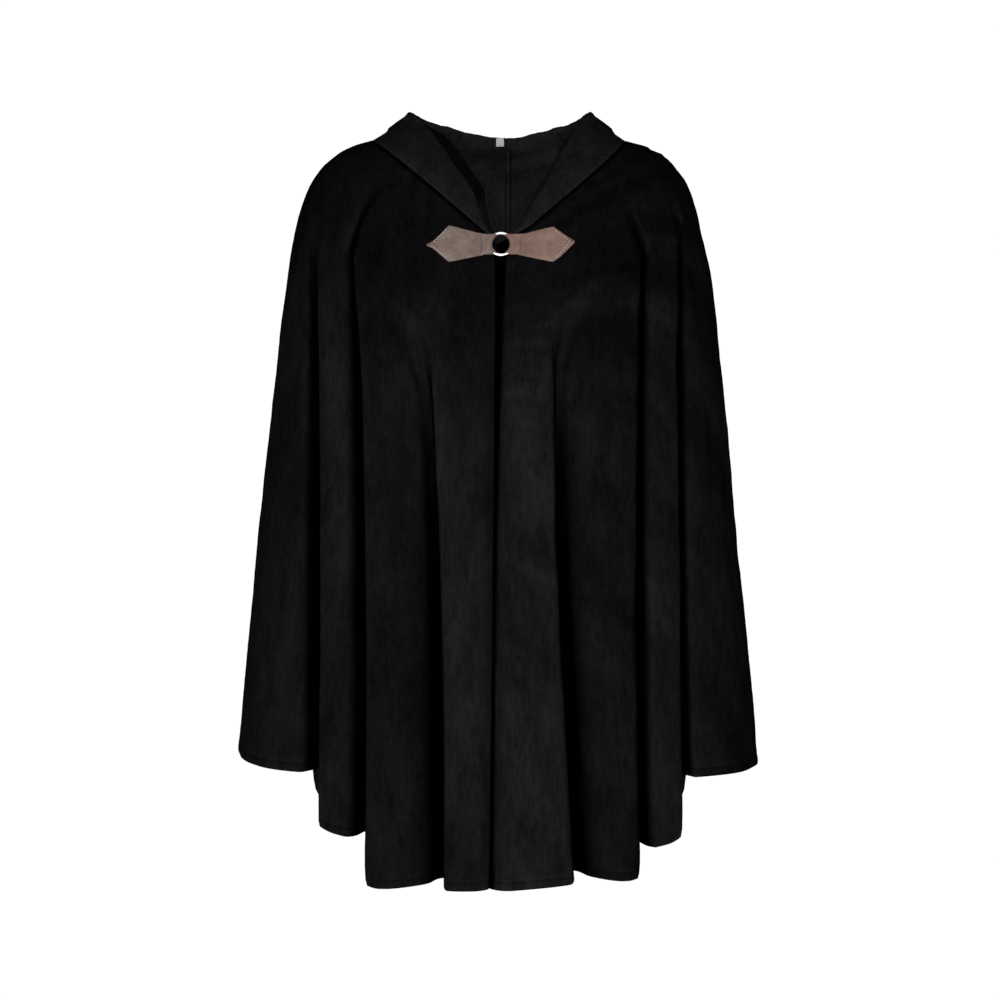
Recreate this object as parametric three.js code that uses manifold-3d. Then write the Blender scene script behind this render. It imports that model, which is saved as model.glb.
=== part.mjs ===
// A short hooded wool cloak, filled out as it hangs from a wearer's shoulders, with nobody in it.
// Two fronts and two backs make the body, the hood lies folded down behind the neck, and a leather
// and ring clasp closes the throat. Everything is in millimetres: +Z is up and the front faces -Y.
// The origin is the middle of the neck opening, at the height where the cloak rests on the shoulders.

import * as THREE from "three";
import Module from "manifold-3d";

const manifold = await Module();
manifold.setup();

// Cloth
const CLOTH = 2; // thickness of the wool
const SEAM_GAP = 0.3; // clearance between two pieces that are sewn together

// The body without its folds, as rings from the neck seam to the hem. run is the share of the way down.
// Each ring has its half width and height at the side, and its reach and height at the front and the back.
// square is the exponent of its outline: 2 is an ellipse, and more is boxier.
const RINGS = [
  { run: 0.0, sideX: 134, sideZ: 8.5, frontY: 110, frontZ: -110, backY: 70, backZ: 10, square: 2.0 },
  { run: 0.05, sideX: 164, sideZ: -2, frontY: 122, frontZ: -140, backY: 94, backZ: -3, square: 2.0 },
  { run: 0.1, sideX: 186, sideZ: -21, frontY: 133, frontZ: -172, backY: 119, backZ: -28, square: 2.05 },
  { run: 0.16, sideX: 201.5, sideZ: -51, frontY: 144, frontZ: -210, backY: 136, backZ: -68, square: 2.1 },
  { run: 0.24, sideX: 213, sideZ: -97, frontY: 153, frontZ: -262, backY: 149, backZ: -125, square: 2.15 },
  { run: 0.34, sideX: 223, sideZ: -167, frontY: 161, frontZ: -325, backY: 159, backZ: -200, square: 2.2 },
  { run: 0.48, sideX: 232.5, sideZ: -268, frontY: 168, frontZ: -413, backY: 168, backZ: -308, square: 2.25 },
  { run: 0.64, sideX: 242, sideZ: -384, frontY: 177, frontZ: -515, backY: 178, backZ: -440, square: 2.3 },
  { run: 0.82, sideX: 252, sideZ: -515, frontY: 186, frontZ: -630, backY: 189, backZ: -590, square: 2.35 },
  { run: 1.0, sideX: 262.5, sideZ: -640, frontY: 194, frontZ: -746, backY: 199, backZ: -745, square: 2.4 },
];
const NECK_TILT = 10; // how much lower the neck seam runs over the right front
const RUNS = [0, 0.03, 0.07, 0.12, 0.18, 0.25, 0.33, 0.42, 0.53, 0.66, 0.82, 1];

// What is met going round the body from the left front edge, over the left side, the back and the right
// side, to the right front edge. A fold is a valley pressed into the cloth, and a seam or an edge is plain.
// x: where it lies at a fifth of the way down, at three fifths and at the hem.
// from: the run where the valley starts, depth: how deep it is at the hem, gap: half its inner width.
// before, after: how widely the cloth rolls into it on each side. lean: how far its bottom slips sideways.
// hemZ: height of the hem on the cloth that follows, where that cloth starts and where it ends.
const AROUND = [
  { name: "edge_left", kind: "edge", back: false, x: [-5.5, -6, -9], hemZ: [-746, -747] },
  { name: "front_left_inner", kind: "fold", back: false, x: [-81, -67, -64], from: 0.3, depth: 50,
    gap: 9, before: 8, after: 30, lean: -7, hemZ: [-738, -746] },
  { name: "front_left_middle", kind: "fold", back: false, x: [-149, -136, -130], from: 0.1, depth: 58,
    gap: 3, before: 7, after: 9, lean: 0, hemZ: [-703, -690] },
  { name: "front_left_outer", kind: "fold", back: false, x: [-190, -184, -186], from: 0.36, depth: 56,
    gap: 6, before: 8, after: 24, lean: 0, hemZ: [-643, -628] },
  { name: "side_left", kind: "seam", back: true, x: [-300, -300, -300], hemZ: [-628, -652] },
  { name: "back_left_outer", kind: "fold", back: true, x: [-196, -206, -214], from: 0.3, depth: 46,
    gap: 8, before: 24, after: 14, lean: 0, hemZ: [-690, -700] },
  { name: "back_left_middle", kind: "fold", back: true, x: [-126, -130, -136], from: 0.26, depth: 58,
    gap: 7, before: 20, after: 13, lean: 4, hemZ: [-728, -736] },
  { name: "back_left_inner", kind: "fold", back: true, x: [-46, -54, -62], from: 0.34, depth: 50,
    gap: 9, before: 22, after: 14, lean: 5, hemZ: [-745, -747] },
  { name: "centre_back", kind: "seam", back: true, x: [8, 7, 6], hemZ: [-747, -744] },
  { name: "back_right_inner", kind: "fold", back: true, x: [58, 62, 68], from: 0.3, depth: 54,
    gap: 8, before: 13, after: 24, lean: -5, hemZ: [-736, -728] },
  { name: "back_right_middle", kind: "fold", back: true, x: [132, 138, 146], from: 0.24, depth: 56,
    gap: 7, before: 13, after: 20, lean: -4, hemZ: [-700, -690] },
  { name: "back_right_outer", kind: "fold", back: true, x: [200, 209, 217], from: 0.34, depth: 44,
    gap: 8, before: 14, after: 24, lean: 0, hemZ: [-652, -634] },
  { name: "side_right", kind: "seam", back: false, x: [300, 300, 300], hemZ: [-634, -649] },
  { name: "front_right_outer", kind: "fold", back: false, x: [190, 182, 187], from: 0.28, depth: 54,
    gap: 5, before: 8, after: 20, lean: 0, hemZ: [-702, -714] },
  { name: "front_right_middle", kind: "fold", back: false, x: [148, 141, 144], from: 0.12, depth: 58,
    gap: 3.5, before: 9, after: 8, lean: 0, hemZ: [-741, -735] },
  { name: "front_right_inner", kind: "fold", back: false, x: [64, 69, 84], from: 0.26, depth: 50,
    gap: 9, before: 28, after: 9, lean: 7, hemZ: [-740, -747] },
  { name: "edge_right", kind: "edge", back: false, x: [8.5, 1.2, -3.5], hemZ: [-746, -746] },
];
const FACING_FRONT = 0.55; // how far a valley's depth turns from square to the cloth towards straight in
const BULGE = 7; // how far a panel of cloth rounds out between two valleys at the hem
const EDGE_CURL = 9; // how far each front edge turns in
const EDGE_CURL_WIDTH = 15;
const STEEP_DEPTH = 26; // a valley this deep has upright walls
const VALLEY_STEPS = [0, 0.16, 0.46, 0.74, 1]; // from its bottom to its lip
const VALLEY_ROUND = 0.45; // below 1 it makes the bottoms of the valleys rounder
const PANEL_STEPS = [0.33, 0.67];
const EDGE_STEPS = [0, 4, 10, 19]; // from a front edge inwards

// The hood, lying down behind the neck, as sections that start on the neck seam and rise to a bend.
// around: 0 is the front edge, 0.5 is the side of the neck and 1 is the centre back.
// leftX, leftY, leftZ and rightX, rightY, rightZ: the top of the bend, on each side.
// over: how many degrees the bend goes on past its top.
const HOOD = [
  { around: 0, leftX: 8, leftY: 106, leftZ: -96, rightX: 9.5, rightY: 106.5, rightZ: -101, over: -40 },
  { around: 0.1, leftX: 19.5, leftY: 98.5, leftZ: -65, rightX: 26, rightY: 102, rightZ: -81, over: 40 },
  { around: 0.2, leftX: 37, leftY: 84, leftZ: -39, rightX: 41, rightY: 92, rightZ: -58, over: 90 },
  { around: 0.31, leftX: 55, leftY: 63, leftZ: -10, rightX: 58, rightY: 70, rightZ: -26, over: 90 },
  { around: 0.41, leftX: 74, leftY: 38, leftZ: 18, rightX: 77, rightY: 40, rightZ: 12, over: 90 },
  { around: 0.5, leftX: 92, leftY: 10, leftZ: 37.5, rightX: 96, rightY: 10, rightZ: 38, over: 90 },
  { around: 0.575, leftX: 85, leftY: -7, leftZ: 35.5, rightX: 88, rightY: -7, rightZ: 35.5, over: 90 },
  { around: 0.65, leftX: 75, leftY: -24, leftZ: 32, rightX: 77, rightY: -24, rightZ: 31.5, over: 90 },
  { around: 0.74, leftX: 61, leftY: -41, leftZ: 30, rightX: 61, rightY: -41, rightZ: 29, over: 75 },
  { around: 0.84, leftX: 41, leftY: -59, leftZ: 26.5, rightX: 36, rightY: -59, rightZ: 26, over: 36 },
  { around: 0.93, leftX: 16, leftY: -68, leftZ: 23, rightX: 16, rightY: -68, rightZ: 22.5, over: 10 },
  { around: 1, leftX: 0.35, leftY: -70, leftZ: 22, rightX: 0.35, rightY: -70, rightZ: 22, over: 10 },
];
// Behind the side of the neck it hangs down from the bend as a pouch.
// fall: the run of the body that the pouch hangs down to. towards: how much nearer to the centre back it
// hangs than it starts. deep: how far the pouch stands out at its bottom.
// rimX, rimY, rimZ: the edge round the wearer's face.
const POUCH = [
  { around: 0.575, fall: 0.05, towards: 0.12, deep: 9, rimX: 110, rimY: -25, rimZ: 22 },
  { around: 0.65, fall: 0.12, towards: 0.2, deep: 15, rimX: 106, rimY: -50, rimZ: 21 },
  { around: 0.74, fall: 0.21, towards: 0.24, deep: 23, rimX: 98, rimY: -92, rimZ: 12 },
  { around: 0.84, fall: 0.3, towards: 0.24, deep: 30, rimX: 70, rimY: -126, rimZ: 3 },
  { around: 0.93, fall: 0.355, towards: 0.2, deep: 34, rimX: 32, rimY: -146, rimZ: -4 },
  { around: 1, fall: 0.375, towards: 0, deep: 35, rimX: 0.35, rimY: -152, rimZ: -8 },
];
// In front of that it has only a rolled edge, which opens out into the pouch.
// down, turn and up: lengths past the bend, of the cloth that goes down, turns out and comes up again.
// bend: how far it turns out, in degrees.
const ROLL = [
  { around: 0.0, down: 2, turn: 2, up: 2, bend: 0 },
  { around: 0.46, down: 2, turn: 2, up: 2, bend: 0 },
  { around: 0.5, down: 3, turn: 3, up: 2, bend: 5 },
  { around: 0.53, down: 13, turn: 7, up: 3, bend: 65 },
  { around: 0.57, down: 34, turn: 12, up: 12, bend: 180 },
  { around: 0.65, down: 60, turn: 20, up: 40, bend: 180 },
];
const HOOD_AROUND = [
  0, 0.05, 0.1, 0.19, 0.3, 0.41, 0.5, 0.515, 0.53, 0.55, 0.575, 0.61, 0.65, 0.72, 0.8, 0.88, 0.94, 1,
];
const HOOD_RISE = [0, 0.3, 0.6, 0.85]; // shares of the way from the seam to the bend
const HOOD_INSET = 3; // how far inside the body's neck edge the hood starts
const HOOD_ABOVE = 0.8; // and how far above it
const HOOD_ROUNDING = 4; // how far it bulges out on its way up
const HOOD_TURN = 3.2; // radius of its bend
const HOOD_PLAIN = 0.15; // how far round it takes for the front edge to begin to roll
const HOOD_OFF_SHOULDER = 6; // how far the pouch lies off the body at the side
const HOOD_OFF_BODY = 10; // and how far it hangs off the body's back
const HOOD_SWAG = 6; // height of the soft folds across the pouch

// The clasp: two leather tabs, each with a loop round one ring. Sizes are as seen from the front.
const CLASP = { x: 2.6, z: -110.5, tilt: 0.3 };
const RING = { radius: 11.7, wire: 1.4 };
const LEATHER = 2.2;
const OFF_CLOTH = 0.7; // clearance under the tabs
const LOOP = { inner: 1.9, outer: 3.9, halfHeight: 9.6 };
// Outline of each tab from the loop outwards: distance from the clasp's middle, lower and upper edge.
const TAB_LEFT = [
  { out: 18.4, low: -10.6, high: 10.2 },
  { out: 26, low: -12.2, high: 11.6 },
  { out: 36, low: -14.4, high: 14 },
  { out: 46, low: -16.6, high: 16.6 },
  { out: 52.5, low: -17.5, high: 17.8 },
  { out: 60, low: -11, high: 9.6 },
  { out: 68, low: -4, high: 2 },
  { out: 73.5, low: -1.6, high: -0.6 },
];
const TAB_RIGHT = [
  { out: 18.4, low: -10.2, high: 9.6 },
  { out: 26, low: -12.2, high: 10.8 },
  { out: 36, low: -14.2, high: 13.2 },
  { out: 46, low: -16.4, high: 15.6 },
  { out: 52.5, low: -17.3, high: 16.8 },
  { out: 60, low: -11.8, high: 11.4 },
  { out: 68, low: -3.6, high: 5.6 },
  { out: 72.8, low: 1.5, high: 3 },
];

// The small label sewn inside the back of the neck
const LABEL = { x: 1.6, y: 63.4, z: 17.4, width: 8.6, height: 9.4, thick: 0.8 };

// Small helpers
const clamp01 = (t) => Math.min(1, Math.max(0, t));
const smooth = (t) => clamp01(t) ** 2 * (3 - 2 * clamp01(t));
const mix = (a, b, t) => a + (b - a) * t;

// A value between the rows of a table, on a smooth curve through them.
function through(rows, key, column, at) {
  let i = 0;
  while (i < rows.length - 2 && rows[i + 1][key] < at) i++;
  const slope = (j) => {
    const a = rows[Math.max(0, j - 1)];
    const b = rows[Math.min(rows.length - 1, j + 1)];
    return (b[column] - a[column]) / (b[key] - a[key]);
  };
  const [a, b] = [rows[i], rows[i + 1]];
  const span = b[key] - a[key];
  const t = (at - a[key]) / span;
  const h = t * t * (3 - 2 * t);
  return (
    mix(a[column], b[column], h) +
    span * (t * (1 - t) ** 2 * slope(i) - t * t * (1 - t) * slope(i + 1))
  );
}

function ringAt(run) {
  const ring = {};
  for (const column of Object.keys(RINGS[0])) ring[column] = through(RINGS, "run", column, run);
  return ring;
}

// The ring's outline at an angle: 0 is the middle of the front, a quarter turn is the left side.
function outline(ring, angle) {
  const reach = Math.cos(angle) > 0 ? ring.frontY : ring.backY;
  const side = Math.abs(Math.sin(angle) / ring.sideX) ** ring.square;
  const deep = Math.abs(Math.cos(angle) / reach) ** ring.square;
  const radius = (side + deep) ** (-1 / ring.square);
  return new THREE.Vector2(-radius * Math.sin(angle), -radius * Math.cos(angle));
}

// The height of the cloth on a ring: straight across the front, and rounded at the back.
function heightOn(ring, x, back) {
  const share = clamp01(Math.abs(x) / ring.sideX);
  if (back) return mix(ring.backZ, ring.sideZ, share ** 2);
  const tilted = x > 0 ? Math.min(1, 4 * share) * (1 - share ** 8) * (1 - clamp01(ring.run / 0.2)) : 0;
  return mix(ring.frontZ, ring.sideZ, share) - NECK_TILT * tilted;
}

// The angle where the outline passes x, by halving the quarter turn that holds it.
function angleAt(ring, x, back) {
  let low = 0;
  let high = Math.PI / 2;
  for (let i = 0; i < 40; i++) {
    const middle = (low + high) / 2;
    const there = outline(ring, back ? Math.PI - middle : middle);
    if (Math.abs(there.x) < Math.abs(x)) low = middle;
    else high = middle;
  }
  const turn = back ? Math.PI - low : low;
  return x > 0 ? 2 * Math.PI - turn : turn;
}

// A ring measured along its own length, so that a place on it is a distance from the front.
function trackOf(ring) {
  const STEPS = 720;
  const points = [];
  const lengths = [0];
  for (let i = 0; i <= STEPS; i++) {
    points.push(outline(ring, (i / STEPS) * 2 * Math.PI));
    if (i) lengths.push(lengths[i - 1] + points[i].distanceTo(points[i - 1]));
  }
  const lengthAt = (angle) => {
    const at = (angle / (2 * Math.PI)) * STEPS;
    const i = Math.min(STEPS - 1, Math.floor(at));
    return mix(lengths[i], lengths[i + 1], at - i);
  };
  const angleOf = (length) => {
    let low = 0;
    let high = STEPS;
    while (high - low > 1) {
      const middle = (low + high) >> 1;
      if (lengths[middle] <= length) low = middle;
      else high = middle;
    }
    return ((low + (length - lengths[low]) / (lengths[high] - lengths[low])) / STEPS) * 2 * Math.PI;
  };
  const outward = (angle) => {
    const STEP = 0.01;
    const along = outline(ring, angle + STEP).sub(outline(ring, angle - STEP)).normalize();
    return new THREE.Vector2(along.y, -along.x).negate();
  };
  return { lengthAt, angleOf, outward };
}

// Where a fold, seam or edge lies on a ring, on a curve through its three places.
function placeX(row, run) {
  const [top, middle, hem] = row.x;
  const t = (run - 0.2) / 0.4;
  return top + (middle - top) * t + ((hem - 2 * middle + top) / 2) * t * (t - 1);
}

// A valley on a ring: how deep and how wide it is there. Shallow ones are wide and soft.
function valleyAt(row, run) {
  if (row.kind !== "fold") return null;
  const grown = clamp01((run - row.from) / (1 - row.from));
  const depth = row.depth * Math.sin((grown * Math.PI) / 2) ** 1.25;
  const steep = smooth(depth / STEEP_DEPTH);
  const soften = mix(1.5, 1, steep);
  return {
    depth,
    steep,
    gap: row.gap * soften,
    before: row.before * soften,
    after: row.after * soften,
    lean: row.lean * steep,
  };
}

// One side of a valley, from its bottom (0) to its lip (1): how far across, and how far in.
// Deep ones are two quarter ellipses that meet on an upright wall, and shallow ones are a cosine.
function valleySide(valley, roll, step) {
  const lower = step <= 0.5;
  const turn = (lower ? step : step - 0.5) * Math.PI;
  const acrossDeep = lower
    ? valley.gap * Math.sin(turn) ** VALLEY_ROUND
    : valley.gap + roll * (1 - Math.cos(turn));
  const inDeep = (valley.depth / 2) * (lower ? 1 + Math.cos(turn) : 1 - Math.sin(turn));
  const acrossSoft = (valley.gap + roll) * step;
  const inSoft = (valley.depth / 2) * (1 + Math.cos(step * Math.PI));
  return {
    across: mix(acrossSoft, acrossDeep, valley.steep),
    inwards: mix(inSoft, inDeep, valley.steep),
  };
}

// The columns of the body's grid. Each is a place between two rows of AROUND.
function columnsBetween(i) {
  const [start, end] = [AROUND[i], AROUND[i + 1]];
  const columns = [];
  if (start.kind === "fold") {
    for (const step of VALLEY_STEPS) columns.push({ i, part: "after", step });
  } else if (start.kind === "edge") {
    for (const inset of EDGE_STEPS) columns.push({ i, part: "inset", inset });
  } else {
    columns.push({ i, part: "inset", inset: SEAM_GAP / 2 });
  }
  for (const step of PANEL_STEPS) columns.push({ i, part: "panel", step });
  if (end.kind === "fold") {
    for (const step of VALLEY_STEPS.slice(1).reverse()) columns.push({ i, part: "before", step });
  } else if (end.kind === "edge") {
    for (const inset of [...EDGE_STEPS].reverse()) columns.push({ i, part: "outset", inset });
  } else {
    columns.push({ i, part: "outset", inset: SEAM_GAP / 2 });
  }
  return columns;
}

// All the points of one ring of the body, folds and all.
function ringPoints(run, columns) {
  const ring = ringAt(run);
  const track = trackOf(ring);
  const rows = AROUND.map((row) => {
    // Above a fifth of the way down, the folds run in towards the neck.
    const on = row.kind === "fold" ? Math.max(run, 0.2) : run;
    const turn = angleAt(ringAt(on), placeX(row, on), row.back);
    const angle = row.name === "edge_right" && turn < Math.PI ? turn + 2 * Math.PI : turn;
    return { ...row, at: track.lengthAt(angle), valley: valleyAt(row, run), angle };
  });
  const growth = smooth(run);
  const hemShare = run ** 2.2;

  const directionOf = (row) => {
    const square = track.outward(row.angle).negate();
    const straight = new THREE.Vector2(0, row.back ? -1 : 1);
    return square.lerp(straight, FACING_FRONT).normalize();
  };
  // The middles of the valleys on each side of a panel. A front edge counts as one a little past it.
  const valleyBeside = (i, way) => {
    let j = way < 0 ? i : i + 1;
    while (rows[j].kind === "seam") j += way;
    return rows[j].kind === "edge" ? rows[j].at + way * 24 : rows[j].at;
  };
  // A valley's bottom hangs as high as the shorter of the two panels beside it.
  const hemInValley = (i) => Math.max(rows[i - 1].hemZ[1], rows[i].hemZ[0]);

  return columns.map((column) => {
    const start = rows[column.i];
    const end = rows[column.i + 1];
    const startWidth = start.valley ? start.valley.gap + start.valley.after : 0;
    const endWidth = end.valley ? end.valley.gap + end.valley.before : 0;
    const firstInset = start.kind === "edge" ? EDGE_STEPS.at(-1) : startWidth;
    const lastInset = end.kind === "edge" ? EDGE_STEPS.at(-1) : endWidth;
    const room = end.at - start.at;
    const fit = Math.min(1, (room * 0.86) / (firstInset + lastInset));

    let at = 0;
    let drop = 0;
    let towards = null;
    let slip = 0;
    let hemZ = start.hemZ[0];
    if (column.part === "after") {
      const side = valleySide(start.valley, start.valley.after, column.step);
      at = start.at + side.across * fit;
      drop = side.inwards;
      towards = directionOf(start);
      slip = (start.valley.lean * side.inwards) / Math.max(1, start.valley.depth);
      hemZ = mix(hemInValley(column.i), start.hemZ[0], smooth(column.step));
    } else if (column.part === "before") {
      const side = valleySide(end.valley, end.valley.before, column.step);
      at = end.at - side.across * fit;
      drop = side.inwards;
      towards = directionOf(end);
      slip = (end.valley.lean * side.inwards) / Math.max(1, end.valley.depth);
      hemZ = mix(hemInValley(column.i + 1), start.hemZ[1], smooth(column.step));
    } else if (column.part === "panel") {
      at = mix(start.at + firstInset * fit, end.at - lastInset * fit, column.step);
      hemZ = mix(start.hemZ[0], start.hemZ[1], column.step);
    } else if (column.part === "inset") {
      at = start.at + column.inset * fit;
    } else {
      at = end.at - column.inset * fit;
      hemZ = start.hemZ[1];
    }

    const angle = track.angleOf(at + slip);
    const base = outline(ring, angle);
    const [left, right] = [valleyBeside(column.i, -1), valleyBeside(column.i, 1)];
    const across = clamp01((at - left) / (right - left)) * 2 - 1;
    const out = BULGE * growth * (1 - across ** 2);
    const place = base.clone().addScaledVector(track.outward(angle), out);
    if (towards) place.addScaledVector(towards, drop);
    const edge = start.kind === "edge" ? start.at : end.kind === "edge" ? end.at : null;
    if (edge !== null) {
      const near = clamp01(1 - Math.abs(at - edge) / EDGE_CURL_WIDTH);
      place.y += EDGE_CURL * near ** 2 * smooth(run / 0.2);
    }
    const back = Math.cos(angle) < 0;
    const z = heightOn(ring, base.x, back) + (hemZ - heightOn(ringAt(1), base.x, back)) * hemShare;
    return new THREE.Vector3(place.x, place.y, z);
  });
}

// Outward normals of a grid of points, grid[column][row]. Each is square to the line that halves the
// bend of the cloth across, and to the cloth's way down.
function gridNormals(grid) {
  const unit = (from, to) => to.clone().sub(from).normalize();
  return grid.map((column, i) =>
    column.map((point, j) => {
      const across = new THREE.Vector3();
      if (i > 0) across.add(unit(grid[i - 1][j], point));
      if (i < grid.length - 1) across.add(unit(point, grid[i + 1][j]));
      const down = new THREE.Vector3();
      if (j > 0) down.add(unit(column[j - 1], point));
      if (j < column.length - 1) down.add(unit(point, column[j + 1]));
      return down.normalize().cross(across.normalize()).normalize();
    }),
  );
}

// Outward normals of a grid whose bends cross it slantwise: the mean of the triangles round each point.
function faceNormals(grid) {
  const normals = grid.map((column) => column.map(() => new THREE.Vector3()));
  const triangle = (...corners) => {
    const points = corners.map(([i, j]) => grid[i][j]);
    const side = (from, to) => points[to % 3].clone().sub(points[from]);
    const normal = side(0, 1).cross(side(0, 2)).normalize();
    corners.forEach(([i, j], k) => {
      const angle = side(k, k + 1).angleTo(side(k, k + 2));
      normals[i][j].addScaledVector(normal, angle);
    });
  };
  for (let i = 0; i < grid.length - 1; i++) {
    for (let j = 0; j < grid[0].length - 1; j++) {
      const [a, b, c, d] = [[i, j], [i, j + 1], [i + 1, j + 1], [i + 1, j]];
      if (cutsFalling(grid, i, j)) {
        triangle(a, b, c);
        triangle(a, c, d);
      } else {
        triangle(d, a, b);
        triangle(d, b, c);
      }
    }
  }
  normals.forEach((column) => column.forEach((normal) => normal.normalize()));
  return normals;
}

// Whether a cell of a grid is cut from its upper left to its lower right corner: its shorter diagonal.
function cutsFalling(grid, i, j) {
  return grid[i][j].distanceTo(grid[i + 1][j + 1]) <= grid[i + 1][j].distanceTo(grid[i][j + 1]);
}

// A closed wall: the grid runs through the middle of its thickness. Each of its cells is cut in two along
// its shorter diagonal.
function wall(grid, normals, thickness) {
  const [columns, rows] = [grid.length, grid[0].length];
  const positions = [];
  for (const out of [thickness / 2, -thickness / 2]) {
    grid.forEach((column, i) =>
      column.forEach((point, j) => positions.push(...point.clone().addScaledVector(normals[i][j], out))),
    );
  }
  const index = [];
  const at = (i, j, inner) => (inner ? columns * rows : 0) + i * rows + j;
  const quad = (a, b, c, d) => index.push(a, b, c, a, c, d);
  for (let i = 0; i < columns - 1; i++) {
    for (let j = 0; j < rows - 1; j++) {
      if (cutsFalling(grid, i, j)) {
        quad(at(i, j, 0), at(i, j + 1, 0), at(i + 1, j + 1, 0), at(i + 1, j, 0));
        quad(at(i, j, 1), at(i + 1, j, 1), at(i + 1, j + 1, 1), at(i, j + 1, 1));
      } else {
        quad(at(i + 1, j, 0), at(i, j, 0), at(i, j + 1, 0), at(i + 1, j + 1, 0));
        quad(at(i + 1, j, 1), at(i + 1, j + 1, 1), at(i, j + 1, 1), at(i, j, 1));
      }
    }
    quad(at(i, 0, 0), at(i + 1, 0, 0), at(i + 1, 0, 1), at(i, 0, 1));
    quad(at(i, rows - 1, 0), at(i, rows - 1, 1), at(i + 1, rows - 1, 1), at(i + 1, rows - 1, 0));
  }
  for (let j = 0; j < rows - 1; j++) {
    quad(at(0, j, 0), at(0, j, 1), at(0, j + 1, 1), at(0, j + 1, 0));
    quad(at(columns - 1, j, 0), at(columns - 1, j + 1, 0), at(columns - 1, j + 1, 1), at(columns - 1, j, 1));
  }
  const geometry = new THREE.BufferGeometry();
  geometry.setAttribute("position", new THREE.Float32BufferAttribute(positions, 3));
  geometry.setIndex(index);
  return geometry;
}

const cloak = new THREE.Group();

const WOOL = { color: 0x121214, roughness: 0.95, metalness: 0 };
function add(name, geometry, finish, parent = cloak) {
  const mesh = new THREE.Mesh(geometry, new THREE.MeshStandardMaterial(finish));
  mesh.name = name;
  parent.add(mesh);
  return mesh;
}

// The body: one grid all the way round, cut into two fronts and two backs at the seams.
const bodyColumns = AROUND.slice(0, -1).flatMap((_, i) => columnsBetween(i));
const bodyRings = RUNS.map((run) => ringPoints(run, bodyColumns));
const bodyGrid = bodyColumns.map((_, i) => bodyRings.map((ring) => ring[i]));
const bodyNormals = gridNormals(bodyGrid);
const PANELS = [
  { name: "front_left", from: "edge_left", to: "side_left" },
  { name: "back_left", from: "side_left", to: "centre_back" },
  { name: "back_right", from: "centre_back", to: "side_right" },
  { name: "front_right", from: "side_right", to: "edge_right" },
];
const rowNumber = (name) => AROUND.findIndex((row) => row.name === name);
for (const panel of PANELS) {
  const inside = (_, i) =>
    bodyColumns[i].i >= rowNumber(panel.from) && bodyColumns[i].i < rowNumber(panel.to);
  add(panel.name, wall(bodyGrid.filter(inside), bodyNormals.filter(inside), CLOTH), WOOL);
}

// A place on the smooth body and the direction out of it.
function bodyPoint(angle, run) {
  const ring = ringAt(run);
  const flat = outline(ring, angle);
  return new THREE.Vector3(flat.x, flat.y, heightOn(ring, flat.x, Math.cos(angle) < 0));
}
function bodyNormal(angle, run) {
  const STEP = 0.01;
  const across = bodyPoint(angle + STEP, run).sub(bodyPoint(angle - STEP, run));
  const low = Math.max(0, run - STEP);
  const down = bodyPoint(angle, low + 2 * STEP).sub(bodyPoint(angle, low));
  return down.cross(across).negate().normalize();
}

// A row of a table at a place between its rows.
function rowAt(rows, around) {
  const at = Math.min(rows.at(-1).around, Math.max(rows[0].around, around));
  const row = {};
  for (const column of Object.keys(rows[0])) row[column] = through(rows, "around", column, at);
  return row;
}

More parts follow.
